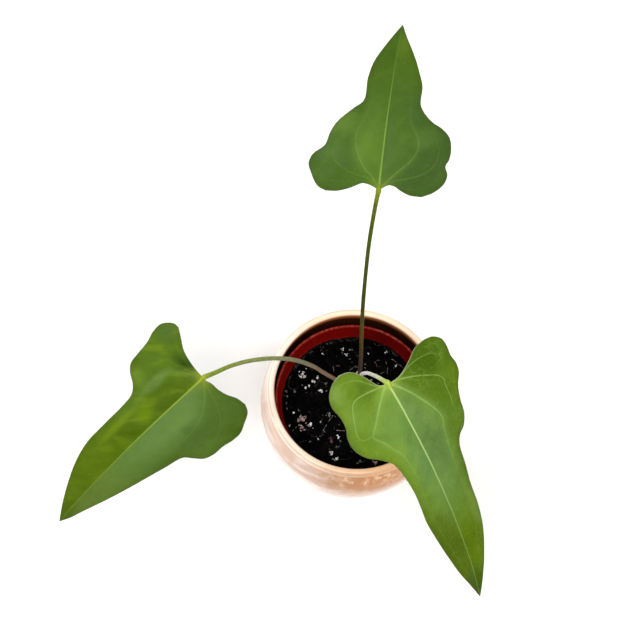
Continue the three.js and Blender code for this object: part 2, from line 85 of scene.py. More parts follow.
# %% A class for shader formulas
class Wire:
    """One output of a shader node. The signs + - * / and abs() on it add Math nodes."""

    def __init__(self, tree, socket):
        self.tree = tree
        self.socket = socket

    def node(self, kind, settings=None, inputs=None, out=0):
        """Adds a node: its settings, then a number or a wire for each input. Gives the wanted output."""
        made = self.tree.nodes.new("ShaderNode" + kind)
        for key, value in (settings or {}).items():
            setattr(made, key, value)
        for key, value in (inputs or {}).items():
            if isinstance(value, Wire):
                self.tree.links.new(value.socket, made.inputs[key])
            else:
                made.inputs[key].default_value = value
        return Wire(self.tree, made.outputs[out])

    def math(self, operation, *values):
        """A Math node of the given operation on the given values."""
        return self.node("Math", {"operation": operation}, dict(enumerate(values)))

    def vector(self, operation, *values, out="Vector"):
        """A Vector Math node of the given operation. LENGTH and DOT_PRODUCT have their result in Value."""
        return self.node("VectorMath", {"operation": operation}, dict(enumerate(values)), out)

    def __add__(self, other):
        return self.math("ADD", self, other)

    def __sub__(self, other):
        return self.math("SUBTRACT", self, other)

    def __rsub__(self, other):
        return self.math("SUBTRACT", other, self)

    def __mul__(self, other):
        return self.math("MULTIPLY", self, other)

    def __truediv__(self, other):
        return self.math("DIVIDE", self, other)

    def __abs__(self):
        return self.math("ABSOLUTE", self)

    __radd__ = __add__
    __rmul__ = __mul__

    def larger(self, other):
        """The larger of two numbers."""
        return self.math("MAXIMUM", self, other)

    def step(self, low, high, start=0.0, end=1.0):
        """Runs smoothly from start to end while the wire goes from low to high."""
        values = {0: self, 1: low, 2: high, 3: start, 4: end}
        return self.node("MapRange", {"interpolation_type": "SMOOTHSTEP"}, values)

    def mix(self, first, second, mode="MIX"):
        """A colour between first and second, with the wire as the share of the second."""
        return self.node("Mix", {"data_type": "RGBA", "blend_type": mode}, {0: self, 6: first, 7: second}, 2)


# %% [markdown]
# ## Colours and patterns
# A finish is one Principled shader. Its colours are written as a picture's 0 to 255 numbers, because that is
# how they are judged against the photograph, and are turned into linear light here. The patterns are noise
# and cells with their sizes in millimetres, so that a fleck comes out as small as the real one.

# %% Colours and patterns
DARKEST_PAINT = 0.0015


def seen(red, green, blue):
    """A colour as a picture's 0 to 255 numbers give it, turned to the linear light that a shader needs:
    ((share + 0.055) / 1.055) ^ 2.4, or share / 12.92 where the share is very small."""
    share = np.array([red, green, blue]) / 255
    linear = np.where(share > 0.04045, ((share + 0.055) / 1.055) ** 2.4, share / 12.92)
    return (*(float(v) for v in linear), 1.0)


def lit(red, green, blue, light, haze):
    """The paint that looks like a picture's colour under the given light: (colour - haze) / light. The haze
    is the white shine that lies over every colour."""
    linear = np.array(seen(red, green, blue)[:3])
    return (*(float(v) for v in np.clip((linear - haze) / light, DARKEST_PAINT, 1)), 1.0)


def new_finish(name, **constants):
    """A material with one Principled shader. Numbers that hold all over it go to the shader's own sockets."""
    material = bpy.data.materials.new(name)
    material.use_nodes = True
    shader = material.node_tree.nodes["Principled BSDF"]
    for key, value in constants.items():
        shader.inputs[key.replace("_", " ")].default_value = value
    texture = material.node_tree.nodes.new("ShaderNodeTexCoord")
    return material, shader, Wire(material.node_tree, texture.outputs["Object"])


def connect(shader, where, colour=None, roughness=None, height=None, depth=0.0):
    """Links what changes over the surface. A height of 0 to 1 stands for a relief of depth millimetres."""
    normal = None
    if height is not None:
        normal = where.node("Bump", {}, {"Strength": 1.0, "Distance": depth * MM, "Height": height})
    for key, wire in (("Base Color", colour), ("Roughness", roughness), ("Normal", normal)):
        if wire is not None:
            where.tree.links.new(wire.socket, shader.inputs[key])


def noise(where, size, detail=2.0, stretch=None, twist=0.0, roughness=0.5):
    """Soft random patches about size millimetres across. stretch squeezes them along x, y and z."""
    if stretch is not None:
        where = where.vector("MULTIPLY", where, stretch)
    values = {"Vector": where, "Scale": 1 / (size * MM), "Detail": detail, "Roughness": roughness}
    return where.node("TexNoise", {}, {**values, "Distortion": twist})


def cells(where, size, feature="F1"):
    """Random cells about size millimetres across: the distance to a cell's middle, or to its wall."""
    return where.node("TexVoronoi", {"feature": feature}, {"Vector": where, "Scale": 1 / (size * MM)})


def attribute(where, name):
    """A number that the mesh carries at each of its points."""
    return where.node("Attribute", {"attribute_name": name}, out="Fac")


print("White of a picture is", seen(255, 255, 255)[:3], "in linear light")

# %% [markdown]
# ## Shapes as formulas
# Most pieces here are skins: rings of points, one after another, with a point that closes each end. A pot is
# such a skin with its rings stacked up, and a stalk is one with its rings along a path. Writing the skin once
# keeps every seam closed and every face outwards.

# %% Tools for closed skins
SPAN_STEPS = 60  # straight steps on each span of a spline


def band(rows, columns, wrap=True, first=0):
    """Four-cornered faces between neighbouring rows of a grid. wrap joins the last column to the first."""
    i, j = np.mgrid[0:rows - 1, 0:columns - (0 if wrap else 1)]
    k = (j + 1) % columns
    corners = [i * columns + j, i * columns + k, (i + 1) * columns + k, (i + 1) * columns + j]
    return first + np.stack(corners, -1).reshape(-1, 4)


def skin(rings, start, end):
    """Rings (rows x columns x 3) as a closed skin with the points start and end on its two ends.
    It faces outwards when each ring runs anticlockwise, seen from the end towards the start."""
    rows, columns = rings.shape[:2]
    points = np.vstack([[start], rings.reshape(-1, 3), [end]])
    j = np.arange(columns)
    k = (j + 1) % columns
    last = 1 + (rows - 1) * columns
    foot = np.stack([0 * j, 1 + k, 1 + j], -1)
    head = np.stack([0 * j + len(points) - 1, last + j, last + k], -1)
    return points, [band(rows, columns, first=1), foot, head]


def turned(profile, columns, wobble=0.0):
    """A solid of revolution. The profile is a list of [radius, height] from the axis below to the axis above:
    x = r cos a, y = r sin a, z = height. wobble is a share of the radius, one value for each angle a."""
    profile = np.asarray(profile, float)
    angle = np.linspace(0, 2 * np.pi, columns, endpoint=False)
    radius = profile[1:-1, :1] * (1 + wobble * np.ones(columns))
    height = np.repeat(profile[1:-1, 1:], columns, 1)
    rings = np.stack([radius * np.cos(angle), radius * np.sin(angle), height], -1)
    return skin(rings, [0, 0, profile[0, 1]], [0, 0, profile[-1, 1]])


def spline(points, shares):
    """A smooth path through the points, read at the given shares of its length.
    Each span is a cubic. Its end slopes weigh the neighbouring spans by the square root of their length."""
    p = np.asarray(points, float)
    p = np.vstack([2 * p[0] - p[1], p, 2 * p[-1] - p[-2]])
    gap = np.sqrt(np.linalg.norm(np.diff(p, axis=0), axis=1))[:, None]
    before, here, after = gap[:-2], gap[1:-1], gap[2:]
    a, b, c, d = p[:-3], p[1:-2], p[2:-1], p[3:]
    leave = ((b - a) / before - (c - a) / (before + here) + (c - b) / here) * here
    arrive = ((c - b) / here - (d - b) / (here + after) + (d - c) / after) * here
    t = np.linspace(0, 1, SPAN_STEPS, endpoint=False)[None, :, None]
    b, c, leave, arrive = b[:, None], c[:, None], leave[:, None], arrive[:, None]
    square, cube = 3 * (c - b) - 2 * leave - arrive, 2 * (b - c) + leave + arrive
    curve = b + leave * t + square * t ** 2 + cube * t ** 3
    curve = np.vstack([curve.reshape(-1, p.shape[1]), p[-2]])
    length = np.concatenate([[0], np.cumsum(np.linalg.norm(np.diff(curve, axis=0), axis=1))])
    return np.stack([np.interp(np.asarray(shares) * length[-1], length, axis) for axis in curve.T], -1)


def unit(vectors):
    """The same directions with length 1."""
    return vectors / np.linalg.norm(vectors, axis=-1, keepdims=True)


def tube(path, radius, sides):
    """A round bar along a path: point = path + r (cos a * side + sin a * over), with side and over square to
    the path. side is also square to the direction in which the whole path bends least, so nothing twists."""
    path = np.asarray(path, float)
    forward = unit(np.gradient(path, axis=0))
    flat = np.linalg.svd(path - path.mean(0))[2][2]
    side = unit(np.cross(forward, flat))
    over = np.cross(forward, side)
    angle = np.linspace(0, 2 * np.pi, sides, endpoint=False)[:, None]
    radius = np.asarray(radius, float)
    radius = radius[:, None, None] if radius.ndim == 1 else radius[..., None]
    rings = path[:, None] + radius * (np.cos(angle) * side[:, None] + np.sin(angle) * over[:, None])
    return skin(rings, path[0], path[-1])


def joined(parts):
    """Several skins as one list of points and one list of faces."""
    points, faces, start = [], [], 0
    for part_points, part_faces in parts:
        points.append(part_points)
        faces += [block + start for block in part_faces]
        start += len(part_points)
    return np.vstack(points), faces


small_tube = tube([[0, 0, z] for z in range(4)], np.ones(4), 6)
print("A tube of 4 rings and 6 sides has", len(small_tube[0]), "points")

# %% [markdown]
# ## From arrays to a Blender object
# `from_pydata` takes the points and faces as lists. A mesh can carry more numbers at each point, such as how
# near a vein is, and the shader reads them back by name. The object stays at the origin: its place is in the
# mesh. Where a surface is lumpy, random numbers on a lattice give it soft hills of a chosen size.

# %% Tools that make an object
LATTICE = 64  # random numbers along each side of the lattice, which repeats after that


def piece(name, shape, material, stands_for=(), values=None, flat=None):
    """Points in millimetres and faces become one smooth object that rides on the plant's one rigid body.
    values are numbers for each point, by name, and flat gives each point's place in the piece's UV map."""
    points, faces = shape
    mesh = bpy.data.meshes.new(name)
    mesh.from_pydata((points * MM).tolist(), [], [face for block in faces for face in block.tolist()])
    mesh.polygons.foreach_set("use_smooth", np.ones(len(mesh.polygons), bool))
    for key, numbers in (values or {}).items():
        mesh.attributes.new(key, "FLOAT", "POINT").data.foreach_set("value", np.asarray(numbers, np.float32))
    if flat is not None:
        corner = np.empty(len(mesh.loops), np.int32)
        mesh.loops.foreach_get("vertex_index", corner)
        mesh.uv_layers.new(name="flat").data.foreach_set("uv", flat[corner].astype(np.float32).ravel())
    mesh.materials.append(material)
    mesh.update()
    made = bpy.data.objects.new(name, mesh)
    bpy.context.scene.collection.objects.link(made)
    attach(made, ROOT)
    if stands_for:
        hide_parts(*stands_for)
    print(name, "has", sum(len(face.vertices) - 2 for face in mesh.polygons), "triangles")
    return made


def lattice_noise(points, size, seed):
    """Smooth random heights from -1 to 1. Random numbers stand on a cubic lattice, size millimetres apart,
    and a point blends the eight round it with the weights 3 t^2 - 2 t^3."""
    table = np.random.default_rng(seed).uniform(-1, 1, (LATTICE, LATTICE, LATTICE))
    place = np.asarray(points, float) / size
    low = np.floor(place).astype(int)
    t = place - low
    t = t * t * (3 - 2 * t)
    total = 0.0
    for corner in np.ndindex(2, 2, 2):
        weight = np.prod(np.where(corner, t, 1 - t), -1)
        at = (low + corner) % LATTICE
        total = total + weight * table[at[..., 0], at[..., 1], at[..., 2]]
    return total


row_of_points = np.outer(range(6), [2, 0, 0])
print("Hills of 6 mm, read every 2 mm:", lattice_noise(row_of_points, 6.0, 1).round(2).tolist())

# %% [markdown]
# ## Studio
# The plant stands on a plain pale floor under soft light. A bright world acts as a white room. Three wide
# lamps stand round the plant: one behind it on the left, one high in front, and one on the right. They are
# the windows that the glaze mirrors.

# %% Floor, world and lights
FLOOR_HALF = 3.0
WORLD_STRENGTH = 0.22
LAMP_AIM = (0, 0, 0.1)
LAMPS = {  # place and size in metres, power in watts
    "window_back_left": ((-1.0, 0.75, 1.15), (1.0, 0.9), 17),
    "panel_above": ((-0.2, -0.8, 1.7), (1.3, 0.8), 22),
    "panel_right": ((1.3, -0.35, 1.0), (0.8, 0.8), 15),
}

floor_mesh = bpy.data.meshes.new("floor")
corners = [(x * FLOOR_HALF, y * FLOOR_HALF, 0) for x, y in ((-1, -1), (1, -1), (1, 1), (-1, 1))]
floor_mesh.from_pydata(corners, [], [(0, 1, 2, 3)])
floor = bpy.data.objects.new("floor", floor_mesh)
bpy.context.scene.collection.objects.link(floor)
floor_paint, floor_shader, where = new_finish("pale_floor", Specular_IOR_Level=0.1, Roughness=0.9)
floor_tone = noise(where, 400).mix(seen(252, 252, 251), seen(255, 255, 255))
connect(floor_shader, where, floor_tone)
floor_mesh.materials.append(floor_paint)

world = bpy.data.worlds.new("white_room")
world.use_nodes = True
world.node_tree.nodes["Background"].inputs["Color"].default_value = (1.0, 1.0, 1.0, 1.0)
world.node_tree.nodes["Background"].inputs["Strength"].default_value = WORLD_STRENGTH
bpy.context.scene.world = world
bpy.context.scene.view_settings.view_transform = "Standard"


def panel(name, place, size, power):
    """A rectangular lamp at place, turned so that it shines at LAMP_AIM."""
    data = bpy.data.lights.new(name, "AREA")
    data.shape = "RECTANGLE"
    data.size, data.size_y = size
    data.energy = power
    lamp = bpy.data.objects.new(name, data)
    bpy.context.scene.collection.objects.link(lamp)
    away = unit(np.array(place, float) - np.array(LAMP_AIM, float))
    side = unit(np.cross((0.0, 0.0, 1.0), away))
    frame_of_lamp = Matrix((side, np.cross(away, side), away)).transposed().to_4x4()
    lamp.matrix_world = Matrix.Translation(place) @ frame_of_lamp


for name, (place, size, power) in LAMPS.items():
    panel(name, place, size, power)
print("World strength", WORLD_STRENGTH, "and", len(LAMPS), "lamps")

# %% [markdown]
# ## Cachepot
# A round-bellied pot with a short shoulder, a groove and a rolled lip. It was thrown or cast, so a turned
# profile is the right tool. Its belly is two parabolas that meet at the widest height. The lip is a spline
# through a few measured points. The underside keeps a dry ring of bare clay to stand on. A made pot is never
# quite round, so two slow waves round it change its radius by a tenth of a percent.

# %% Cachepot shape
POT_HEIGHT = 108.0
FOOT_RADIUS = 46.0
FOOT_BEVEL = 1.6
BELLY_RADIUS = 66.6
BELLY_Z = 80.0
SHOULDER_RADIUS = 60.0
SHOULDER_Z = 100.0
POT_WALL = 3.2
POT_FLOOR = 6.0
POT_COLUMNS = 180
OUTER_STEPS, LIP_STEPS, INNER_STEPS, CORNER_STEPS = 62, 44, 30, 8


def belly_radius(z):
    """Outer radius at height z: a parabola below the widest height and a steeper one above it."""
    below = BELLY_RADIUS - (BELLY_RADIUS - FOOT_RADIUS) * ((BELLY_Z - z) / BELLY_Z) ** 2
    above = BELLY_RADIUS - (BELLY_RADIUS - SHOULDER_RADIUS) * ((z - BELLY_Z) / (SHOULDER_Z - BELLY_Z)) ** 2
    return np.where(z < BELLY_Z, below, above)


def pot_profile():
    """The cachepot's [radius, height] points: dry ring, belly, shoulder, lip, inner wall and floor. The
    second result is 0 for a point outside the lip's top and 1 for one inside it."""
    dry_ring = [[0, 0.8], [38, 0.8], [39, 0.1], [39.4, 0], [44, 0], [44.7, 0.2], [45.4, 0.7]]
    outer_z = np.linspace(FOOT_BEVEL, SHOULDER_Z - 1.6, OUTER_STEPS)
    outer = np.stack([belly_radius(outer_z), outer_z], -1)
    lip_points = [
        [60.5, 99.1], [59.9, 100.1], [59.6, 101.1], [60.2, 102], [61, 102.9], [61.3, 104.8], [60.7, 106.7],
        [58.9, 107.9], [57.2, 107.7], [56.2, 106.8], [56, 105.4], [56.3, 103.4], [56.5, 100.6],
    ]
    lip = spline(lip_points, np.linspace(0, 1, LIP_STEPS))
    inner_z = np.linspace(SHOULDER_Z - 1.5, POT_FLOOR + 6, INNER_STEPS)
    inner = np.stack([belly_radius(inner_z) - POT_WALL, inner_z], -1)
    corner = spline([[47.4, 10], [46, 7.4], [43.4, POT_FLOOR]], np.linspace(0, 1, CORNER_STEPS))
    points = np.vstack([dry_ring, outer, lip, inner, corner, [[0, POT_FLOOR]]])
    return points, (np.arange(len(points)) > points[:, 1].argmax()).astype(float)


pot_angle = np.linspace(0, 2 * np.pi, POT_COLUMNS, endpoint=False)
pot_wobble = 0.0012 * np.sin(2 * pot_angle + 0.6) + 0.0008 * np.sin(3 * pot_angle + 2.1)
pot_points, pot_inside = pot_profile()
pot_shape = turned(pot_points, POT_COLUMNS, pot_wobble)
pot_inside = np.concatenate([[0], np.repeat(pot_inside[1:-1], POT_COLUMNS), [1]])
print("Cachepot is", round(float(np.ptp(pot_shape[0][:, 0])), 1), "mm wide and", POT_HEIGHT, "mm high")

# %% [markdown]
# ## Glaze
# The glaze is pinkish white on the sides, and peach to tan in front; that darker front is partly the glaze's
# own colour and partly painted shade. The lip is painted lighter on the left, where the light falls, and a
# painted highlight lies on its top, with painted shade in the groove below it. Soft white brush strokes,
# partly painted highlight, thin brown lines and pale foamy flecks lie in it, and it has a high gloss. Strokes
# and lines round a pot come from noise whose patches are long in x and y and short in z. Inside, the wall is
# painted shade, from orange-brown under the lip to dark brown.

# %% Glaze
# Which way the front lies: its peach to tan is partly the glaze's own colour and partly painted shade
TAN_AND_SHADE_FRONT = (0.65, -1.0, 0.0)
# Which way the left lies, where the lip is painted lighter by the light that falls there
LIGHT_FROM_LEFT = (-1.0, -0.1, 0.0)
# Rings round the pot: the heights at which each sets in, is full, starts to fade, and ends
FOAM_RING = (84, 92, 98, 100.5)
LOW_RING = (86.2, 86.9, 87.2, 87.9)
GROOVE_RING = (99.4, 100.4, 101.2, 102.2)
SEAM_RING = (106.8, 107.2, 107.5, 107.8)


def hoop(height, start, full, fading, end):
    """A ring round the pot: a step up from start to full, times a step down from fading to end."""
    return height.step(start * MM, full * MM) * height.step(end * MM, fading * MM)


def outer_glaze(where, height, inside, front_tan_and_shade):
    """The colour outside, from belly to lip. It also gives the foam, which stands proud, and the groove."""
    # The belly turns peach to tan towards the front: partly the glaze's own colour, partly painted shade
    thin = front_tan_and_shade * height.step(50 * MM, 86 * MM, 0.3, 1.0)
    belly = thin.mix(seen(226, 190, 171), seen(180, 122, 72))
    # White brush strokes on the sides, partly a painted highlight
    strokes_and_highlight = noise(where, 9, 4, stretch=(0.35, 0.35, 2.4)).step(0.4, 0.62)
    strokes_and_highlight = strokes_and_highlight * noise(where, 22, 2).step(0.36, 0.56) * (1 - front_tan_and_shade)
    belly = (strokes_and_highlight * 0.55).mix(belly, seen(255, 245, 241))
    blush = noise(where, 12, 5, roughness=0.7).step(0.5, 0.68)
    belly = (blush * 0.4).mix(belly, seen(226, 178, 142))
    # Painted light: the lip is whiter on the left, where the light falls
    lit_left = where.vector("DOT_PRODUCT", where, LIGHT_FROM_LEFT, out="Value").step(0.02, 0.05)
    edge = front_tan_and_shade.mix(lit_left.mix(seen(246, 218, 190), seen(251, 232, 218)), seen(202, 152, 112))
    # A painted highlight on the top of the lip
    lip_top_highlight = height.step(106.4 * MM, 107.8 * MM)
    lip = height.step(100.8 * MM, 102.4 * MM)
    colour = lip.mix(belly, (lip_top_highlight * 0.2).mix(edge, seen(244, 214, 184)))
    foam = noise(where, 4.2, 4, roughness=0.7).step(0.46, 0.72) * noise(where, 10, 2).step(0.38, 0.6)
    foam = foam * (hoop(height, *FOAM_RING) * 0.7 + 0.12) * (0.35 + front_tan_and_shade * 0.65)
    colour = foam.mix(colour, seen(248, 218, 180))
    lines = noise(where, 8, 3, stretch=(0.25, 0.25, 9.0)).step(0.6, 0.68)
    colour = (lines * (0.12 + front_tan_and_shade * 0.25) * (1 - lip * 0.6)).mix(colour, seen(176, 118, 82))
    # Painted shade in the groove under the lip
    groove = hoop(height, *GROOVE_RING)
    colour = (groove * 0.85).mix(colour, seen(160, 102, 66))
    seam = hoop(height, *SEAM_RING) * (1 - inside) * noise(where, 16, 3).step(0.35, 0.5)
    colour = (seam * 0.45).mix(colour, seen(206, 160, 130))
    low_ring = hoop(height, *LOW_RING) * noise(where, 30, 2).step(0.4, 0.55)
    colour = (low_ring * 0.4).mix(colour, seen(168, 112, 80))
    return colour, foam, groove


def glaze_finish():
    """Gloss outside, painted shade on the duller wall inside below the lip, a bare unglazed dry ring, and a
    faint ripple all over.
    """
    material, shader, where = new_finish("peach_glaze", Specular_IOR_Level=0.15, Coat_Roughness=0.05)
    height = where.node("SeparateXYZ", {}, {0: where}, "Z")
    inside = attribute(where, "inside")
    clouds = noise(where, 18, 4, twist=0.8)
    # The front, painted darker: partly its own tan, partly painted shade
    towards_front = where.vector("DOT_PRODUCT", where, TAN_AND_SHADE_FRONT, out="Value")
    front_tan_and_shade = (towards_front + (clouds - 0.5) * 0.03).step(0.032, 0.066)
    outer, foam, groove = outer_glaze(where, height, inside, front_tan_and_shade)
    # Painted shade inside: orange-brown under the lip, dark brown further down
    inner_shade = noise(where, 7, 4).mix(seen(74, 27, 3), seen(96, 42, 8))
    inner = height.step(100 * MM, 105 * MM).mix(inner_shade, seen(204, 124, 66))
    inner = height.step(105.2 * MM, 107.6 * MM).mix(inner, outer)
    dry = height.step(1.9 * MM, 1.2 * MM)
    colour = dry.mix(inside.mix(outer, inner), seen(182, 146, 118))
    dull_inner_wall = inside * (1 - height.step(102 * MM, 106 * MM))
    roughness = 0.16 + clouds * 0.08 + dry * 0.6 + dull_inner_wall * 0.5
    ripple = noise(where, 6, 2, stretch=(0.5, 0.5, 4.0)) * 0.6 + noise(where, 1.6, 2) * 0.2 + foam * 0.2
    coat = (1 - groove * 0.85) * (1 - dry) * 0.5
    where.tree.links.new(coat.socket, shader.inputs["Coat Weight"])
    connect(shader, where, colour, roughness, ripple, depth=0.2)
    return material


glaze = glaze_finish()
piece("glazed_cachepot", pot_shape, glaze, ["cachepot"], {"inside": pot_inside})

# %% [markdown]
# ## Nursery pot
# A thin dark red plastic pot. It stands on the cachepot's floor, a little nearer the front, so its rim shows
# a crescent of shadow at the back. Its profile is turned in its own frame and then moved. Drain holes are cut
# with a Boolean, because a round hole in a flat floor has no simple formula on a turned grid.

# %% Nursery pot shape
LINER_PLACE = np.array([-0.1, -2.4, 6.3])
LINER_HEIGHT = 90.2
LINER_WALL = 1.1
LINER_FLOOR_RADIUS = 35.4
LINER_WIDENING = 14.8
COLLAR_FOOT = LINER_HEIGHT - 13.0
LINER_COLUMNS = 168
DRAIN_HOLES = 8
DRAIN_CIRCLE = 25.0
DRAIN_RADIUS = 3.5
SOIL_LEVEL = LINER_HEIGHT - 14


def seated(points):
    """From the nursery pot's own frame to the world."""
    return np.asarray(points, float) + LINER_PLACE


def liner_inside(z):
    """Inner radius below the collar at height z: a straight cone."""
    return LINER_FLOOR_RADIUS + LINER_WIDENING * z / COLLAR_FOOT


def liner_profile():
    """Outside up to the rim, over it, and down the inside to the floor."""
    cone_z = np.linspace(1.6, COLLAR_FOOT - 2, 24)
    outer = np.stack([liner_inside(cone_z) + LINER_WALL, cone_z], -1)
    rim_points = [
        [51.2, COLLAR_FOOT - 0.9], [52, COLLAR_FOOT - 0.2], [52.4, COLLAR_FOOT + 0.8], [53.4, 82],
        [54.8, 87.5], [55.4, 87.9], [55.6, 88.6], [55.6, 89.6], [55.3, 90.1], [54.6, 90.2], [54.1, 89.9],
        [53.9, 89.2], [53.2, 86], [52.2, 81.6], [51.6, 79.4], [50.9, 78], [50.4, 76.9],
    ]
    rim = spline(rim_points, np.linspace(0, 1, 70))
    inner = np.stack([liner_inside(cone_z), cone_z], -1)[::-1]
    floor_edge = [[0, 0], [35.6, 0], [36.2, 0.3], [36.5, 0.9]]
    return np.vstack([floor_edge, outer, rim, inner, [[35, 1.2], [0, 1.1]]])


def drilled(made, radius, places, length):
    """Cuts round upright holes. Each is a cylinder from -length to length that a Boolean takes away."""
    drills = []
    for x, y in places:
        body = turned([[0, -length], [radius, -length], [radius, length], [0, length]], 24)
        drills.append((seated(body[0] + [x, y, 0]), body[1]))
    points, faces = joined(drills)
    mesh = bpy.data.meshes.new("drills")
    mesh.from_pydata((points * MM).tolist(), [], [face for block in faces for face in block.tolist()])
    cutter = bpy.data.objects.new("drills", mesh)
    bpy.context.scene.collection.objects.link(cutter)
    cut = made.modifiers.new("holes", "BOOLEAN")
    cut.operation, cut.solver, cut.object = "DIFFERENCE", "EXACT", cutter
    result = bpy.data.meshes.new_from_object(made.evaluated_get(bpy.context.evaluated_depsgraph_get()))
    made.modifiers.clear()
    result.name = made.name
    made.data = result
    bpy.data.objects.remove(cutter)


def red_plastic():
    """Dark red with a paler rim, partly scuffs and partly a painted highlight along its top, a few splashes
    of soil, and a band of dirt where the soil ends.
    """
    material, shader, where = new_finish("dark_red_plastic", Specular_IOR_Level=0.06)
    height = attribute(where, "height")
    patches = noise(where, 14, 3)
    colour = patches.mix(seen(96, 3, 1), seen(122, 6, 3))
    scuffs = noise(where, 2.4, 4, stretch=(1.0, 1.0, 0.4)).step(0.4, 0.62)
    # The paler rim is partly scuffs and partly a painted highlight
    rim = height.step(88.6, 89.7)
    colour = (rim * (0.2 + scuffs * 0.7)).mix(colour, seen(160, 62, 52))
    spots = noise(where, 2.0, 5, roughness=0.7).step(0.6, 0.68) * height.step(90, 84)
    dirt = noise(where, 3.4, 4, roughness=0.65) + noise(where, 9, 2) * 0.4
    dirt = (dirt + height.step(SOIL_LEVEL + 4, SOIL_LEVEL) * 0.55).step(0.92, 1.04)
    colour = (spots * 0.5).mix(colour, seen(120, 52, 44))
    colour = dirt.mix(colour, seen(16, 9, 7))
    roughness = 0.5 + patches * 0.2 + dirt * 0.25
    connect(shader, where, colour, roughness, scuffs * 0.3 + dirt * 0.7, depth=0.12)
    return material


liner_points, liner_faces = turned(liner_profile(), LINER_COLUMNS)
liner = piece("nursery_liner", (seated(liner_points), liner_faces), red_plastic(),
              ["nursery_pot"], {"height": liner_points[:, 2]})
drain_angle = 2 * np.pi * np.arange(DRAIN_HOLES) / DRAIN_HOLES
drain_places = DRAIN_CIRCLE * np.stack([np.cos(drain_angle), np.sin(drain_angle)], -1)
drilled(liner, DRAIN_RADIUS, drain_places, length=3)
print("Drain holes:", DRAIN_HOLES)

# %% [markdown]
# ## Potting mix
# Dark, moist peat and bark fill the nursery pot to 14 mm under its rim. The body is a turned solid whose top
# is a height field: two long waves from the CAD model, then lumps of three sizes. Loose crumbs, light pumice
# grains and thin root fibres lie on it as pieces of their own colour.

# %% Soil body
SOIL_EDGE = float(liner_inside(SOIL_LEVEL)) - 0.2
SOIL_COLUMNS, SOIL_RINGS = 300, 96


def soil_height(x, y):
    """Height of the soil in the nursery pot's frame: level + long waves + lumps of 6, 2.4 and 1.1 mm."""
    coarse = np.sin(x / 6.1 + 0.7) * np.cos(y / 7.3 - 0.4)
    fine = np.sin(x / 2.9 - y / 3.7 + 1.9) + np.sin(x / 4.3 + y / 2.7)
    flat = np.stack([x, y, 0 * x], -1)
    lumps = 0.5 * lattice_noise(flat, 6.0, 11) + 0.65 * lattice_noise(flat, 2.4, 12)
    lumps = lumps + 0.4 * lattice_noise(flat, 1.1, 13)
    return SOIL_LEVEL + 0.8 * (0.9 * coarse + 0.35 * fine) + 0.75 * lumps


def soil_shape():
    """Turned sides up to the soil's edge, then rings that shrink to the middle and take the height field."""
    sides = np.array([[34, 1.6], [35.0, 2.0], [42.2, SOIL_LEVEL / 2], [SOIL_EDGE - 0.6, SOIL_LEVEL - 2.4]])
    reach = (SOIL_EDGE + 0.1) * (1 - np.arange(SOIL_RINGS) / SOIL_RINGS)
    radius = np.concatenate([sides[:, 0], reach])
    angle = np.linspace(0, 2 * np.pi, SOIL_COLUMNS, endpoint=False)
    x = radius[:, None] * np.cos(angle)
    y = radius[:, None] * np.sin(angle)
    z = np.repeat(np.concatenate([sides[:, 1], 0 * reach])[:, None], SOIL_COLUMNS, 1)
    top = slice(len(sides), None)
    z[top] = soil_height(x[top], y[top])
    middle = float(soil_height(np.zeros(1), np.zeros(1))[0])
    return skin(np.stack([x, y, z], -1), [0, 0, 1.6], [0, 0, middle])


def soil_finish():
    """Near black peat with brown bark flecks. Wet spots are smoother than dry ones."""
    material, shader, where = new_finish("potting_mix", Specular_IOR_Level=0.03)
    fleck = cells(where, 1.7).step(0.45, 0.1) * noise(where, 6, 2).step(0.5, 0.6)
    brown = noise(where, 4, 5, roughness=0.7).step(0.5, 0.75)
    colour = brown.mix(seen(2, 2, 3), seen(13, 8, 7))
    colour = (fleck * 0.35).mix(colour, seen(36, 27, 25))
    wet = noise(where, 7, 3).step(0.5, 0.62)
    crumb = noise(where, 0.9, 6, roughness=0.75) * 0.7 + fleck * 0.3
    connect(shader, where, colour, 0.95 - wet * 0.35, crumb, depth=0.9)
    return material


soil_points, soil_faces = soil_shape()
potting_mix = soil_finish()
piece("potting_mix", (seated(soil_points), soil_faces), potting_mix, ["soil"])
print("Soil edge radius", round(SOIL_EDGE, 1), "mm")

# %% [markdown]
# ## Crumbs
# One small lump with 28 faces is copied many times as a whole array: every copy gets its own size,
# turn, place and dents from seeded random numbers. A chip of bark is the same lump, only flatter.

# %% Loose crumbs
CRUMBS = 1500
LUMP_SIDES = 7


def small_lump():
    """A ball of 3 rings with LUMP_SIDES points each, closed at both ends."""
    height = np.array([-0.62, 0.05, 0.66])
    angle = np.linspace(0, 2 * np.pi, LUMP_SIDES, endpoint=False) + np.array([[0.0], [0.45], [0.1]])
    radius = np.sqrt(1 - height ** 2)[:, None]
    rings = np.stack([radius * np.cos(angle), radius * np.sin(angle), height[:, None] + 0 * angle], -1)
    return skin(rings, [0, 0, -1], [0, 0, 1])


def random_turns(rng, count):
    """Rotation matrices from random unit quaternions."""
    w, x, y, z = unit(rng.normal(size=(count, 4))).T
    rows = [
        [1 - 2 * (y * y + z * z), 2 * (x * y - z * w), 2 * (x * z + y * w)],
        [2 * (x * y + z * w), 1 - 2 * (x * x + z * z), 2 * (y * z - x * w)],
        [2 * (x * z - y * w), 2 * (y * z + x * w), 1 - 2 * (x * x + y * y)],
    ]
    return np.moveaxis(np.array(rows), -1, 0)


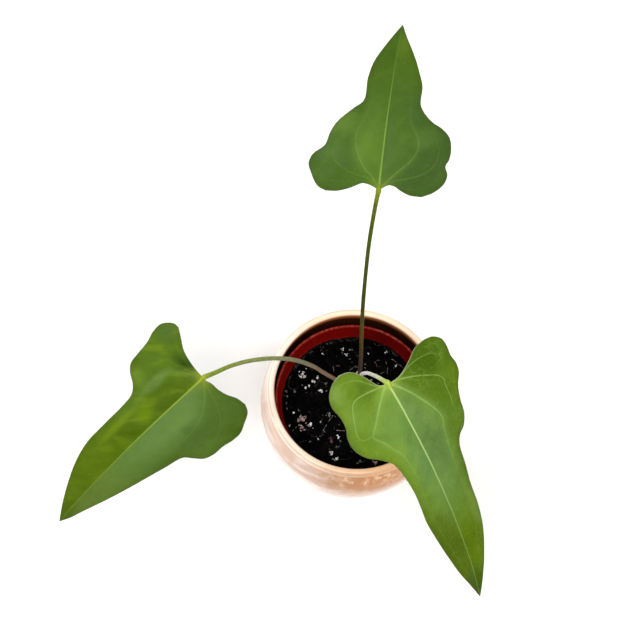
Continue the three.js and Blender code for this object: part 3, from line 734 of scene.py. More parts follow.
def scattered(rng, places, size, flatness, dent, sink):
    """Copies of the small lump on the soil at places (x, y). flatness squeezes each copy along its own z,
    dent moves its points in and out, and sink lowers it by that share of its size."""
    points, faces = small_lump()
    count = len(places)
    axes = np.stack([np.ones(count), rng.uniform(0.6, 1.0, count), flatness], -1)
    stretch = size[:, None, None] * axes[:, None]
    rough = 1 + dent * rng.uniform(-1, 1, (count, len(points), 1))
    lumps = np.einsum("nij,nvj->nvi", random_turns(rng, count), points[None] * rough * stretch)
    height = soil_height(places[:, 0], places[:, 1]) + size * (0.45 - sink)
    lumps = lumps + np.column_stack([places, height])[:, None]
    shift = len(points) * np.arange(count)[:, None, None]
    blocks = [(block[None] + shift).reshape(-1, block.shape[1]) for block in faces]
    return seated(lumps.reshape(-1, 3)), blocks


def disc_places(rng, count, reach):
    """Random places spread evenly over a disc: the radius follows the square root of a random share."""
    radius = reach * np.sqrt(rng.uniform(0, 1, count))
    angle = rng.uniform(0, 2 * np.pi, count)
    return np.stack([radius * np.cos(angle), radius * np.sin(angle)], -1)


rng = np.random.default_rng(5)
crumb_places = disc_places(rng, CRUMBS, SOIL_EDGE - 0.6)
crumb_size = 0.35 + 1.5 * rng.uniform(0, 1, CRUMBS) ** 3
crumb_shape = scattered(rng, crumb_places, crumb_size, rng.uniform(0.3, 0.9, CRUMBS), dent=0.28, sink=0.1)
piece("soil_crumbs", crumb_shape, potting_mix)

# %% [markdown]
# ## Light grains
# White pumice, grey grit and a few pink and mauve bits catch the eye in the dark mix, so they lie where the
# photograph shows them. Their places are read off it in pixels. The camera gives the sight line through each
# pixel, and the grain lies where that line meets the soil.

# %% Light grains
GRAIN_LEVEL = SOIL_LEVEL + 0.6
SHARP_SHARE = 0.9  # a grain's radius read off the photograph includes its soft edge

# Grains as they lie in the photograph, read off it: pixels across, pixels down and radius in pixels
PALE_GRAINS = [
    (302.3, 374.2, 2.2), (304.5, 375.8, 1.7), (301, 377, 1.5), (303, 372.8, 1.3), (299.5, 376, 1.1),
    (306.3, 368.3, 1.0), (317.5, 378.4, 1.9), (314, 381.2, 1.8), (312.6, 381.6, 1.1), (305.5, 387.8, 1.7),
    (309.2, 386.4, 1.6), (320.7, 390.2, 2.1), (321.8, 392, 1.5), (310.8, 424.1, 2.5), (308.7, 424.6, 1.7),
    (293.8, 412.6, 1.4), (289.4, 425.6, 1.4), (320.6, 421.8, 0.9), (318, 439, 1.1), (331.5, 454.3, 1.8),
    (330.3, 452, 1.3), (336.6, 458.8, 1.9), (334.6, 459.8, 1.2), (338.6, 437.3, 1.5), (338, 435.4, 1.1),
    (343.2, 348.4, 1.2), (343.2, 350.2, 1.1), (346.5, 355.2, 1.2), (345, 353.8, 0.9), (322.5, 353.6, 1.1),
    (368.5, 353.5, 1.0), (385.8, 352.6, 1.5), (395.8, 366.2, 1.3), (396.8, 365, 0.9), (310.5, 349.6, 0.8),
]
GREY_GRAINS = [
    (302.2, 385.1, 1.3), (325.7, 383.4, 1.6), (326.3, 390.6, 1.0), (294.5, 391.2, 1.8), (336.8, 356.5, 1.1),
    (349.5, 350.2, 1.2), (352, 350, 1.0), (326.8, 343.8, 1.3), (298.5, 410, 1.0), (310, 441.6, 1.4),
    (360, 461, 1.5), (358, 463, 1.2), (323.6, 430.6, 1.3), (378.5, 383.5, 1.0), (365.3, 364, 1.2),
    (329.5, 414.3, 2.3), (332.6, 416.2, 1.5), (327, 413.6, 1.4), (287, 396, 1.2), (286.4, 403, 1.3),
    (286.8, 408.5, 1.1), (285.7, 391, 1.1), (340, 441, 1.1), (336.5, 446.5, 1.1), (293, 430, 0.9),
    (296, 427, 0.9), (352, 362, 0.8), (296, 366.4, 1.0),
]
PINK_GRAINS = [
    (301.5, 418.2, 2.7), (303.8, 419.9, 2.0), (300.2, 416.2, 1.5), (304.3, 416.2, 1.2), (302.6, 427.6, 2.2),
    (301, 425.4, 1.4), (304.2, 429.2, 1.2), (299.3, 424.6, 1.0), (371, 380.6, 1.9), (375.9, 462.8, 2.2),
    (373.2, 461.6, 1.3),
]
MAUVE_GRAINS = [(331, 438.2, 2.0), (331.3, 441.4, 1.8), (331.2, 439.8, 1.8)]


def on_soil(spots):
    """Points of the photograph, in the nursery pot's frame, and how many millimetres a pixel spans there.
    The sight line through a pixel is camera + t * direction, with a step of 1 along the view for each t.
    It meets the soil's level at t = (level - camera height) / (height of the direction)."""
    offset = (np.array(spots, float)[:, :2] - PICTURE_SIZE / 2) / focal_pixels
    sight = ahead + offset[:, :1] * right - offset[:, 1:] * up
    start = np.array(CAMERA_PLACE) - LINER_PLACE
    reach = (GRAIN_LEVEL - start[2]) / sight[:, 2]
    return start[:2] + reach[:, None] * sight[:, :2], reach / focal_pixels


def grain_finish(name, tone, shade):
    """A porous grain: tone with darker pits where the noise is low, and patches of peat stuck to it."""
    material, shader, where = new_finish(name, Specular_IOR_Level=0.15)
    pits = noise(where, 1.0, 4, roughness=0.7)
    dirt = noise(where, 1.9, 3)
    colour = pits.step(0.3, 0.55).mix(shade, tone)
    colour = (dirt.step(0.52, 0.66) * 0.55).mix(colour, seen(40, 30, 27))
    connect(shader, where, colour, 0.9 - pits * 0.1, pits, depth=0.35)
    return material


def measured_grains(name, spots, material, seed):
    """Grains at listed spots. Each is a dented lump, half out of the soil, with two smaller ones by it."""
    places, pixel = on_soil(spots)
    rows = np.column_stack([places, SHARP_SHARE * np.array(spots)[:, 2] * pixel])
    grain_rng = np.random.default_rng(seed)
    chips = np.repeat(rows, 2, 0)
    chips[:, :2] += grain_rng.normal(0, 0.9, (len(chips), 2)) * chips[:, 2:]
    chips[:, 2] *= grain_rng.uniform(0.3, 0.65, len(chips))
    rows = np.vstack([rows, chips])
    flatness = grain_rng.uniform(0.5, 0.9, len(rows))
    shape = scattered(grain_rng, rows[:, :2], rows[:, 2], flatness, dent=0.3, sink=-0.05)
    piece(name, shape, material)


pale_pumice = grain_finish("pale_pumice", seen(222, 220, 216), seen(140, 134, 130))
grey_pumice = grain_finish("grey_pumice", seen(108, 108, 100), seen(52, 50, 48))
pink_pumice = grain_finish("pink_pumice", seen(172, 144, 140), seen(108, 80, 77))
mauve_bark = grain_finish("mauve_bark", seen(92, 60, 66), seen(58, 34, 39))
measured_grains("pale_grains", PALE_GRAINS, pale_pumice, 21)
measured_grains("grey_grains", GREY_GRAINS, grey_pumice, 23)
measured_grains("pink_grains", PINK_GRAINS, pink_pumice, 22)
measured_grains("mauve_grains", MAUVE_GRAINS, mauve_bark, 24)

# %% [markdown]
# ## Fibres and root hairs
# Thin fibres lie on the mix, and short ones stand up along the red wall. Each is a tube along a path on the
# soil. Most of them start, head and curl as seeded random numbers say. The longest threads follow the
# photograph, read off it in pixels as the grains were.

# %% Fibres and root hairs
FIBRE_SIDES, THREAD_STEPS, THREAD_SIDES = 5, 12, 6


def curly(rng, start, heading, length, curl, lift):
    """A thin path on the soil: it starts at (x, y), runs on in its heading, and bends by curl as it goes."""
    steps = 8
    t = np.linspace(0, 1, steps + 1)
    turn = heading + curl * t + 0.5 * np.sin(5 * t + rng.uniform(0, 6))
    step = length / steps
    x = start[0] + np.concatenate([[0], np.cumsum(np.cos(turn[:-1]))]) * step
    y = start[1] + np.concatenate([[0], np.cumsum(np.sin(turn[:-1]))]) * step
    z = soil_height(x, y) + 0.25 + lift * np.sin(np.pi * t)
    return seated(np.stack([x, y, z], -1))


def fibre_set(seed, count, reach, lengths, radius, lift):
    """Many thin tubes on the soil, from seeded random starts, headings and lengths."""
    fibre_rng = np.random.default_rng(seed)
    parts = []
    for place in disc_places(fibre_rng, count, reach):
        length = fibre_rng.uniform(*lengths)
        heading, curl = fibre_rng.uniform(0, 6.28), fibre_rng.uniform(-2, 2)
        path = curly(fibre_rng, place, heading, length, curl, lift)
        thin = radius * fibre_rng.uniform(0.6, 1.2) * np.linspace(1, 0.45, len(path))
        parts.append(tube(path, thin, FIBRE_SIDES))
    return joined(parts)


def fibre_finish(name, tone, shade):
    """A dull thread that is paler on some stretches than on others."""
    material, shader, where = new_finish(name, Specular_IOR_Level=0.25)
    mottle = noise(where, 2.0, 3)
    colour = mottle.step(0.4, 0.6).mix(shade, tone)
    connect(shader, where, colour, 0.6 + mottle * 0.3, noise(where, 0.5), depth=0.08)
    return material


# Threads as they lie in the photograph, read off it: pixels across and down
LONG_THREADS = [
    [(336.5, 430.6), (340.5, 430.9), (344.8, 430.8)], [(391.5, 359.3), (396, 362), (400, 365), (403.5, 368)],
    [(374, 361), (376, 364), (377, 367)], [(365.8, 363), (364, 365), (365.5, 368), (367.4, 370.3)],
    [(336, 366.4), (338, 366.2), (340, 366.5)], [(360.3, 368.4), (358.3, 366.6), (356.3, 367.4)],
    [(364, 366), (362.4, 364.6), (361.6, 361.6)],
]
DULL_THREADS = [
    [(333, 416), (329.5, 420), (326.5, 425), (323.5, 430.5)], [(389.5, 348), (392, 351), (395, 354.5)],
    [(350, 370), (353, 367.5), (356.5, 365.5)], [(376, 361.4), (377.5, 360), (379.3, 360.5)],
    [(347, 359.8), (349, 359), (351, 358.8)], [(333, 367), (333.6, 369.5), (334, 372)],
    [(380, 374), (383, 372.9), (386, 371.4)], [(386, 362), (387.5, 368), (387, 375)],
    [(320.5, 351), (322, 348.8), (324, 346.8)], [(336, 425.4), (338, 425), (340, 424.4)],
    [(340.5, 441.5), (340, 445), (337.5, 448)], [(341, 453.5), (343, 453.2), (345, 453.6)],
    [(320, 436.5), (322, 434.6), (324.5, 434.8)],
]


def measured_threads(rows, radius):
    """A thin tube along each listed path, laid on the soil."""
    parts = []
    for row in rows:
        flat = spline(on_soil(row)[0], np.linspace(0, 1, THREAD_STEPS))
        line = np.column_stack([flat, soil_height(flat[:, 0], flat[:, 1]) + 0.45])
        parts.append(tube(seated(line), radius * np.linspace(1.1, 0.7, THREAD_STEPS), THREAD_SIDES))
    return joined(parts)


def wall_fibres(seed, count):
    """Short hairs that stick up from the soil's edge against the red wall behind."""
    fibre_rng = np.random.default_rng(seed)
    parts = []
    for angle in fibre_rng.uniform(0.15, 2.9, count):
        t = np.linspace(0, 1, 7)
        around = angle + fibre_rng.uniform(-0.13, 0.13) * t
        radius = SOIL_EDGE - 1.5 + 1.2 * t
        height = SOIL_LEVEL - 0.3 + fibre_rng.uniform(1.0, 4.2) * t ** 0.7
        path = seated(np.stack([radius * np.cos(around), radius * np.sin(around), height], -1))
        parts.append(tube(path, 0.14 * np.linspace(1, 0.5, len(path)), FIBRE_SIDES))
    return joined(parts)


dull_thread = fibre_finish("dull_thread", seen(92, 84, 80), seen(44, 38, 36))
pale_thread = fibre_finish("pale_thread", seen(136, 120, 108), seen(78, 64, 56))
loose_fibres = fibre_set(31, count=90, reach=SOIL_EDGE - 4, lengths=(2, 7), radius=0.11, lift=0.5)
piece("peat_fibres", loose_fibres, dull_thread)
piece("wall_fibres", wall_fibres(34, count=46), dull_thread)
piece("dull_threads", measured_threads(DULL_THREADS, 0.36), dull_thread)
piece("long_threads", measured_threads(LONG_THREADS, 0.3), pale_thread)

# %% [markdown]
# ## Stem and roots
# All leaves rise from one short stem at the soil. It is knobbly and brown, with thick roots that go down
# through the mix. The roots follow the same seeded paths as in the CAD model, so a small copy of its random
# generator stands here.

# %% Stem
PLANT_PLACE = np.array([1.24, 8.97, 82.5])
KNOB_STEPS, KNOB_SIDES = 26, 40
ROOT_STEPS, ROOT_SIDES, ROOT_RADIUS = 40, 12, 1.5
WHOLE_NUMBERS = 2 ** 32  # how many values a 32-bit number has
NUMBER_STEP = 0x6D2B79F5  # an odd number, so its multiples reach every 32-bit value


def repeatable(seed):
    """Random numbers from 0 to 1 by multiplying and shifting 32-bit whole numbers, as in the CAD model."""
    whole = WHOLE_NUMBERS - 1
    state = seed
    while True:
        state = (state + NUMBER_STEP) & whole
        t = ((state ^ (state >> 15)) * (state | 1)) & whole
        t ^= (t + (((t ^ (t >> 7)) * (t | 61)) & whole)) & whole
        yield (t ^ (t >> 14)) / WHOLE_NUMBERS


def root_paths(count=5, depth=50.0, reach=24.0, seed=3):
    """Each root leaves the stem sideways and then sinks: four points on a curve in one upright plane."""
    draw = repeatable(seed)
    for i in range(count):
        angle = 2 * math.pi * (i + 0.5 * next(draw)) / count
        far = reach * (0.7 + 0.3 * next(draw))
        deep = depth * (0.6 + 0.4 * next(draw))
        sides = np.array([0.05, 0.3, 0.75, 1.0])[:, None] * far * np.array([math.cos(angle), math.sin(angle)])
        yield np.column_stack([sides, [-3, -6 - 0.12 * deep, -0.5 * deep, -deep]])


def stem_shape():
    """A turned knob, roughened by noise, with five tapering roots."""
    profile = [
        [0, -8.5], [3.4, -7.6], [4.6, -4], [5.2, -1.6], [5.4, 0],
        [5.3, 1.8], [4.5, 3.6], [2.6, 4.8], [0, 5.2],
    ]
    points, faces = turned(spline(profile, np.linspace(0, 1, KNOB_STEPS)), KNOB_SIDES)
    knobs = 1 + 0.05 * lattice_noise(points, 2.2, 41) + 0.03 * lattice_noise(points, 0.9, 42)
    parts = [(points * knobs[:, None], faces)]
    t = np.linspace(0, 1, ROOT_STEPS)
    for path in root_paths():
        line = spline(path, t)
        line = line + 0.5 * np.stack([lattice_noise(line, 7.0, 43 + k) for k in range(3)], -1)
        parts.append(tube(line, ROOT_RADIUS * (1 - 0.55 * t), ROOT_SIDES))
    points, faces = joined(parts)
    return points + PLANT_PLACE, faces


def stem_finish():
    """Grey-brown bark with pale scars in rings."""
    material, shader, where = new_finish("brown_stem", Specular_IOR_Level=0.3)
    bark = noise(where, 2.4, 5, stretch=(1.0, 1.0, 2.5))
    colour = bark.step(0.35, 0.65).mix(seen(58, 46, 38), seen(126, 108, 88))
    connect(shader, where, colour, 0.6 + bark * 0.3, bark, depth=0.5)
    return material


piece("knobbly_stem", stem_shape(), stem_finish(), ["stem_and_roots"])

# %% [markdown]
# ## Rolled young leaf
# The next leaf is a pale spike beside the back stalk. It is a tube that thins to a point. A shallow spiral
# step round it shows the rolled edge.

# %% Rolled leaf
ROLL_PATH = np.array([[-2.4, 3.6, 2.4], [-1.4, 5.6, 7.4], [0.9, 8.9, 12]]) + PLANT_PLACE
ROLL_STEPS, ROLL_SIDES = 44, 28


def rolled_leaf_shape():
    """Radius = taper * (0.95 + edge). The edge rises with the square of the angle and drops at the fold."""
    line = spline(ROLL_PATH, np.linspace(0, 1, ROLL_STEPS))
    t = np.linspace(0, 1, ROLL_STEPS)[:, None]
    angle = np.linspace(0, 1, ROLL_SIDES, endpoint=False)[None]
    edge = 0.16 * ((angle + 0.8 * t) % 1.0) ** 2
    radius = (1 - 0.35 * t) * np.sqrt(1 - t ** 12) * (0.95 + edge) + 0.02
    return tube(line, radius, ROLL_SIDES)


def rolled_leaf_finish():
    """Cream and pale green, mixed in fine lengthwise lines."""
    material, shader, where = new_finish("rolled_leaf", Specular_IOR_Level=0.4)
    lines = noise(where, 1.0, 3, stretch=(1.0, 1.0, 0.2))
    colour = lines.mix(seen(214, 206, 178), seen(178, 176, 130))
    connect(shader, where, colour, 0.45 + lines * 0.2, lines, depth=0.15)
    return material


piece("rolled_leaf", rolled_leaf_shape(), rolled_leaf_finish(), ["bud"])

# %% [markdown]
# ## Leaves: the measured numbers
# Each leaf has a stalk, given by a few points in the plant's own frame, and a blade. The blade is described
# flat, with the joint at 0, 0 and the tip straight ahead in y. The notch goes out from the joint along the
# back of a lobe, and the edge goes on round the lobe to the tip. Veins are paths in the same flat frame. Then
# the blade is bent by an angle and hung by three more: heading, pitch and bank, all in degrees.

# %% Leaf data
LEAVES = {
    "back": {
        "stalk": [[1.2, 2.8, 1.2], [1.7, 6.6, 22.4], [0.3, 17, 47.4], [-1.1, 28.3, 68.7],
                  [-1.6, 42.6, 92.4], [-1.3, 56.6, 113.4], [0.2, 70.2, 131.6], [1.4, 77.5, 139.5]],
        "stalk_radius": [1.9, 1.3, 1.5],
        "heading": 85, "pitch": -11.5, "bank": 9, "bend": 28, "length": 142.5,
        "grooved": 1.0, "streaked": 0, "wave_phase": [0.1, 0.55],
        "left": {
            "notch": [[-5, 2.5], [-10, 3.5], [-17.5, 0], [-24.5, -2], [-32.5, -2]],
            "edge": [[-38, 1], [-42.5, 8.5], [-46, 18], [-44.5, 24.5], [-37, 30], [-34.5, 37.5],
                     [-30.5, 46], [-22, 57], [-16.5, 63], [-16, 82.5], [-14, 98.5], [-8, 117]],
            "veins": [
                [[0, 0], [-5, 8.2], [-10, 13.2], [-13.7, 19.8], [-16.7, 27.3], [-17.8, 33.2], [-17.5, 39],
                 [-15.6, 45], [-13, 53], [-11.5, 64], [-10.8, 80], [-9, 98], [-5, 117]],
                [[0, 0], [-6.7, 6.5], [-14.2, 8.7], [-20, 10.9], [-25.8, 14.8], [-29.7, 19.5], [-31.5, 26],
                 [-29, 35]],
                [[0, 0], [-9, 5.3], [-18, 3.6], [-27, 3.6], [-34.5, 6], [-39, 12], [-40.5, 18]],
            ],
        },
        "right": {
            "notch": [[5.5, 3], [9, 2.5], [13.5, -0.5], [19, -3], [26, -3.5]],
            "edge": [[32.5, 0], [38.5, 7], [40, 13], [38.5, 17.5], [40.5, 22], [41, 29], [39, 39],
                     [34.5, 44.5], [28, 48.5], [23, 54], [20, 60], [19.5, 76], [16, 90], [10, 109.5],
                     [4.5, 126]],
            "veins": [
                [[0, 0], [7.5, 9], [12.5, 14], [17.5, 19.4], [20.8, 25.7], [21.2, 31.5], [19.2, 38.2],
                 [16.3, 44], [14, 52], [13.2, 64], [12.5, 78], [10, 95], [5.5, 114]],
                [[0, 0], [8, 5.4], [16, 7.6], [24, 10.6], [30, 15], [33.5, 21], [33.5, 29], [30, 37]],
                [[0, 0], [8.5, 3.8], [15, 1.4], [22, 1.2], [28.5, 3.4], [33.5, 8.5], [35, 13]],
            ],
        },
    },
    "left": {
        "stalk": [[-3, -0.6, 1.2], [-9.2, -3.8, 18.4], [-17.3, -5.8, 34.1], [-25.1, -7.8, 50.1],
                  [-31.9, -9.4, 64], [-45.8, -12.8, 81.6], [-58.2, -16, 88.6], [-70.2, -19.1, 90.3],
                  [-81.3, -21.6, 86.5], [-90.2, -23.8, 80.2], [-98.7, -25.9, 74.5]],
        "stalk_radius": [1.9, 1.3, 1.6],
        "heading": 228, "pitch": 8, "bank": 11, "bend": 40, "length": 142.5,
        "grooved": 1.0, "streaked": 1, "wave_phase": [0.35, 0.8],
        "left": {
            "notch": [[-2, 0.5], [-6, -0.8], [-12.5, -1.5], [-18, -3.2], [-24, -6.3], [-30, -7.5]],
            "edge": [[-34.5, -5.5], [-38.5, 1], [-41, 6.5], [-41, 13], [-39.7, 20], [-39.5, 27],
                     [-37.5, 33], [-32.5, 38], [-28, 42.5], [-24.5, 56], [-21, 70], [-17.5, 84],
                     [-13.5, 98.5], [-8, 117], [-4, 131.5]],
            "veins": [
                [[0, 0], [-5.8, 4.8], [-12.5, 10.7], [-17.5, 18.2], [-19.8, 26.5], [-20.3, 33.2],
                 [-19.6, 41], [-17.4, 52], [-15, 66], [-12.6, 82], [-9.6, 98], [-5.4, 117]],
                [[0, 0], [-8, 3], [-17, 5.2], [-25, 8.8], [-30.5, 14], [-32.5, 21], [-31.5, 29],
                 [-28, 36]],
                [[0, 0], [-8, 0.6], [-17, -0.4], [-25, -2.4], [-31.5, -1.4], [-35.5, 4], [-36.6, 11]],
            ],
        },
        "right": {
            "notch": [[2.5, 0.5], [11.5, 0], [21, -2], [28.5, -6], [35, -9.5]],
            "edge": [[38.5, -9.3], [42, -7], [45, -2.5], [44, 4], [40.5, 11.5], [39, 20], [38, 27.5],
                     [34.5, 31.5], [27, 35.5], [23, 40], [21.5, 49], [21.5, 65.5], [21.5, 80], [19.5, 91],
                     [15.5, 105], [9, 121.5]],
            "veins": [
                [[0, 0], [6.7, 4.8], [12.5, 9], [16.7, 13.4], [18.9, 18.2], [19.7, 24.8], [19.2, 31.5],
                 [17.5, 37.8], [15.6, 45], [15, 53], [15.2, 63], [14.2, 73], [12.4, 85], [10.3, 98],
                 [6, 116]],
                [[0, 0], [9, 4], [18, 7.2], [25.5, 11], [31, 15.5], [33.5, 21], [31.5, 27]],
                [[0, 0], [10, 2.2], [20, 1.4], [28.5, -1.2], [35.5, -4.4], [40, -2], [40.2, 3.5]],
            ],
        },
    },
    "right": {
        "stalk": [[1.8, -2.2, 1.2], [1.3, -4.5, 24.4], [1.4, -5.8, 43.9], [3.3, -11, 61.5],
                  [7.2, -21.6, 85.7], [10.2, -29.8, 101.7], [12.3, -35.6, 112.5]],
        "stalk_radius": [1.8, 1.2, 1.45],
        "heading": 304, "pitch": 7.5, "bank": 4, "bend": 44, "length": 147,
        "grooved": 2.2, "streaked": 0, "wave_phase": [0.6, 0.15],
        "left": {
            "notch": [[-1.5, 0.5], [-7, 0], [-12, -2], [-18, -5.5], [-25.5, -10.5], [-33.5, -12.5]],
            "edge": [[-40, -12], [-44.5, -8.5], [-45.5, -3.5], [-44.8, 3], [-45.3, 8], [-43, 13.5],
                     [-36.5, 21], [-33.7, 28], [-32.5, 36], [-29, 42], [-23.5, 46], [-20.5, 51],
                     [-18.5, 62], [-17, 72], [-16.5, 85], [-14.5, 99], [-10, 116.5], [-5, 132]],
            "veins": [
                [[0, 0], [-3, 3.2], [-6.3, 7.5], [-9.8, 12.5], [-12.5, 17.2], [-15, 22], [-17.2, 26.5],
                 [-18.3, 30.5], [-18, 34], [-16.5, 37], [-15.8, 41], [-14.8, 46], [-13.8, 52], [-13, 62],
                 [-12, 78], [-10.5, 94], [-6.5, 114]],
                [[0, 0], [-6, 1.2], [-12, 2.8], [-18.5, 4.9], [-24, 7.2], [-28.5, 9.4], [-30.6, 11.5],
                 [-31.2, 13.5], [-30, 16.5], [-29.3, 20], [-28.8, 24], [-27, 30]],
                [[0, 0], [-8, 0.2], [-14, -2], [-20, -3.6], [-27, -4.1], [-32, -3.8], [-35.5, -2.2],
                 [-38, 0.2], [-37, 2], [-33.5, 3]],
            ],
        },
        "right": {
            "notch": [[2.5, 0], [5.5, -1], [8, -4.5], [12, -11.5], [17, -16], [23, -17]],
            "edge": [[28.5, -14.5], [34, -8.5], [36, -2], [35, 5], [35, 11], [36.7, 17.5], [36, 25],
                     [32.5, 31], [26, 36], [20.5, 41.5], [18, 50], [16.5, 61.5], [16.8, 71], [17.3, 79],
                     [15, 94.5], [9.5, 119], [4, 135]],
            "veins": [
                [[0, 0], [3, 1.6], [5.5, 3.6], [8.5, 6.5], [12, 10], [15.5, 13.8], [18.5, 17.2],
                 [20.5, 19.3], [22.8, 21.8], [23.8, 23.8], [22.5, 25.2], [20.3, 27.5], [18.2, 31], [16, 35],
                 [14, 38], [12.5, 42], [11.5, 50], [11, 58], [12.4, 70], [12.4, 78], [10.6, 94], [6, 116]],
                [[0, 0], [8, 0.1], [15, -0.3], [21.8, 0.2], [24.8, 1.8], [27, 5], [28.8, 9.5], [30, 13.5],
                 [31, 17], [31, 20], [28.8, 22.3], [24.6, 22.2]],
                [[0, 0], [7, -1.5], [11, -5], [15, -9], [19, -10.7], [24, -11.6], [28.5, -8.5]],
            ],
        },
    },
}
JOINT_RADIUS = 2.1
CLEARANCE = 0.3
print("Leaves:", ", ".join(f"{name} {leaf['length']} mm" for name, leaf in LEAVES.items()))

# %% [markdown]
# ## Stalks
# A stalk is thick where it leaves the stem, slim along its middle and swollen under the blade. It has faint
# ridges and, along one side, a shallow groove. The mesh carries the share along the stalk for the finish to
# read.

# %% Stalk shape
STALK_STEPS, STALK_SIDES = 170, 26


def stalk_path(leaf):
    """The stalk's points in the world. It ends short of the joint by the joint's radius and a small gap."""
    points = np.array(leaf["stalk"], float) + PLANT_PLACE
    points[-1] += (JOINT_RADIUS + CLEARANCE) * unit(points[-2] - points[-1])
    return points


def stalk_radius(leaf, t):
    """Radius at share t: middle + (base - middle) e^(-t / 0.16) + (top - middle) e^(-(1 - t) / 0.05)."""
    base, middle, top = leaf["stalk_radius"]
    return middle + (base - middle) * np.exp(-t / 0.16) + (top - middle) * np.exp(-(1 - t) / 0.05)


def stalk_shape(leaf, seed):
    """A tube with faint lengthwise ridges, a shallow groove, and slow swellings along it."""
    t = np.linspace(0, 1, STALK_STEPS)
    angle = np.linspace(0, 2 * np.pi, STALK_SIDES, endpoint=False)[None]
    line = spline(stalk_path(leaf), t)
    swell = 0.03 * lattice_noise(line, 9.0, seed) + 0.015 * lattice_noise(line, 3.0, seed + 1)
    ridges = 0.02 * np.cos(6 * angle) - 0.1 * np.exp(-((angle - np.pi) / 0.5) ** 2)
    radius = stalk_radius(leaf, t)[:, None] * (1 + swell[:, None] + ridges)
    shape = tube(line, radius, STALK_SIDES)
    share = np.concatenate([[0], np.repeat(t, STALK_SIDES), [1]])
    return shape, share


print("Stalks:", len(LEAVES), "tubes of", STALK_STEPS, "rings with", STALK_SIDES, "points each")

# %% [markdown]
# ## Stalk skin
# A stalk turns from grey-brown at the soil to yellow-green at the blade, and the front one is nearly white.
# So the colour is a list of stops along the stalk, with soft steps between them. The stops are
# written as they look in the photograph, and `lit` takes the studio's light out of them. A lighter stretch
# in the middle of the left stalk is a painted highlight.

# %% Stalk finish
STALK_LIGHT = {"back": 1.5, "left": 1.5, "right": 1.1}
STALK_HAZE = 0.02
STALK_COLOURS = {
    "back": [(0.0, (108, 94, 90)), (0.16, (98, 86, 76)), (0.32, (106, 88, 54)), (0.5, (80, 86, 40)),
             (0.85, (92, 107, 36)), (0.95, (110, 123, 42)), (1.0, (144, 152, 50))],
    # The left stalk's lighter, pinker stretch from 0.34 to 0.46 is a painted highlight
    "left": [(0.0, (142, 118, 100)), (0.2, (160, 134, 114)), (0.34, (180, 150, 126)), (0.46, (170, 148, 122)),
             (0.54, (152, 150, 122)), (0.76, (148, 158, 96)), (0.95, (150, 172, 68)), (1.0, (166, 186, 70))],
    "right": [(0.0, (230, 220, 222)), (0.5, (242, 236, 236)), (0.8, (226, 226, 202)), (1.0, (196, 210, 108))],
}


def stalk_finish(name, stops, light):
    """Colours at given shares along the stalk, with fine lengthwise streaks and small pale dots."""
    material, shader, where = new_finish(name, Specular_IOR_Level=0.12)
    along = attribute(where, "along")
    streaks = noise(where, 1.4, 4, twist=0.4)
    reading = along + (streaks - 0.5) * 0.08
    colour = lit(*stops[0][1], light, STALK_HAZE)
    for (low, _), (high, tone) in zip(stops[:-1], stops[1:]):
        colour = reading.step(low, high).mix(colour, lit(*tone, light, STALK_HAZE))
    dots = cells(where, 1.1).step(0.22, 0.08) * noise(where, 5).step(0.45, 0.6)
    colour = (dots * 0.25).mix(colour, seen(170, 160, 126))
    colour = ((1 - streaks.step(0.3, 0.6)) * 0.35).mix(colour, seen(120, 112, 80), "MULTIPLY")
    connect(shader, where, colour, 0.42 + streaks * 0.2, streaks, depth=0.12)
    return material


for order, (name, leaf) in enumerate(LEAVES.items()):
    shape, share = stalk_shape(leaf, 50 + 2 * order)
    skin_of_stalk = stalk_finish("stalk_skin_" + name, STALK_COLOURS[name], STALK_LIGHT[name])
    piece("leaf_stalk_" + name, shape, skin_of_stalk, ["stalk_" + name], {"along": share})

# %% [markdown]
# ## Blades
# A blade is one sheet, so it is one formula. Each half is a patch between the midrib and the edge: u runs
# from the joint to the tip and v from the midrib to the edge. The relief lifts the flat patch: a shallow
# gutter along the midrib, dished halves, waved edges and drooping lobes, then fine veins. At last the sheet
# is bent like an arc and turned into place. The relief is real geometry, so it also shows in other views.

# %% Blade formulas
BLADE_ROWS, BLADE_COLUMNS = 200, 68
WAVE_HEIGHT = 2.0
WAVE_LENGTH = 38.0
WAVE_HALF_WIDTH = 40.0


def half_blade(leaf, side, u, v):
    """Flat (x, y) of one half. rim(u) runs along the edge, and back(v) along the notch:
    x = v rim_x + (1 - u)^3 (back_x - v corner_x)
    y = (1 - v) length u^1.5 + v rim_y + (1 - u)^3 (back_y - v corner_y)"""
    notch = [[0, 0], *leaf[side]["notch"]]
    corner = notch[-1]
    rim = spline([corner, *leaf[side]["edge"], [0, leaf["length"]]], u)[:, None]
    back = spline(notch, v)[None]
    u, v = u[:, None], v[None]
    fade = (1 - u) ** 3
    x = v * rim[..., 0] + fade * (back[..., 0] - v * corner[0])
    y = (1 - v) * leaf["length"] * u ** 1.5 + v * rim[..., 1] + fade * (back[..., 1] - v * corner[1])
    return x, y


def nearest(path, x, y):
    """Distance from each place (x, y) to a path, and the share along the path where it is nearest.
    On each straight piece the foot of the place is held between the piece's ends. The distance is positive
    on the path's left and negative on its right, so it runs straight through 0 at the line."""
    place = np.stack([x, y], -1)[..., None, :]
    start, step = path[:-1], np.diff(path, axis=0)
    away = place - start
    foot = np.clip((away * step).sum(-1) / (step ** 2).sum(-1), 0, 1)
    gap = np.linalg.norm(away - foot[..., None] * step, axis=-1)
    turn = step[:, 0] * away[..., 1] - step[:, 1] * away[..., 0]
    best = gap.argmin(-1)[..., None]
    gap, turn, foot = (np.take_along_axis(values, best, -1)[..., 0] for values in (gap, turn, foot))
    return gap * np.sign(turn), (best[..., 0] + foot) / len(step)


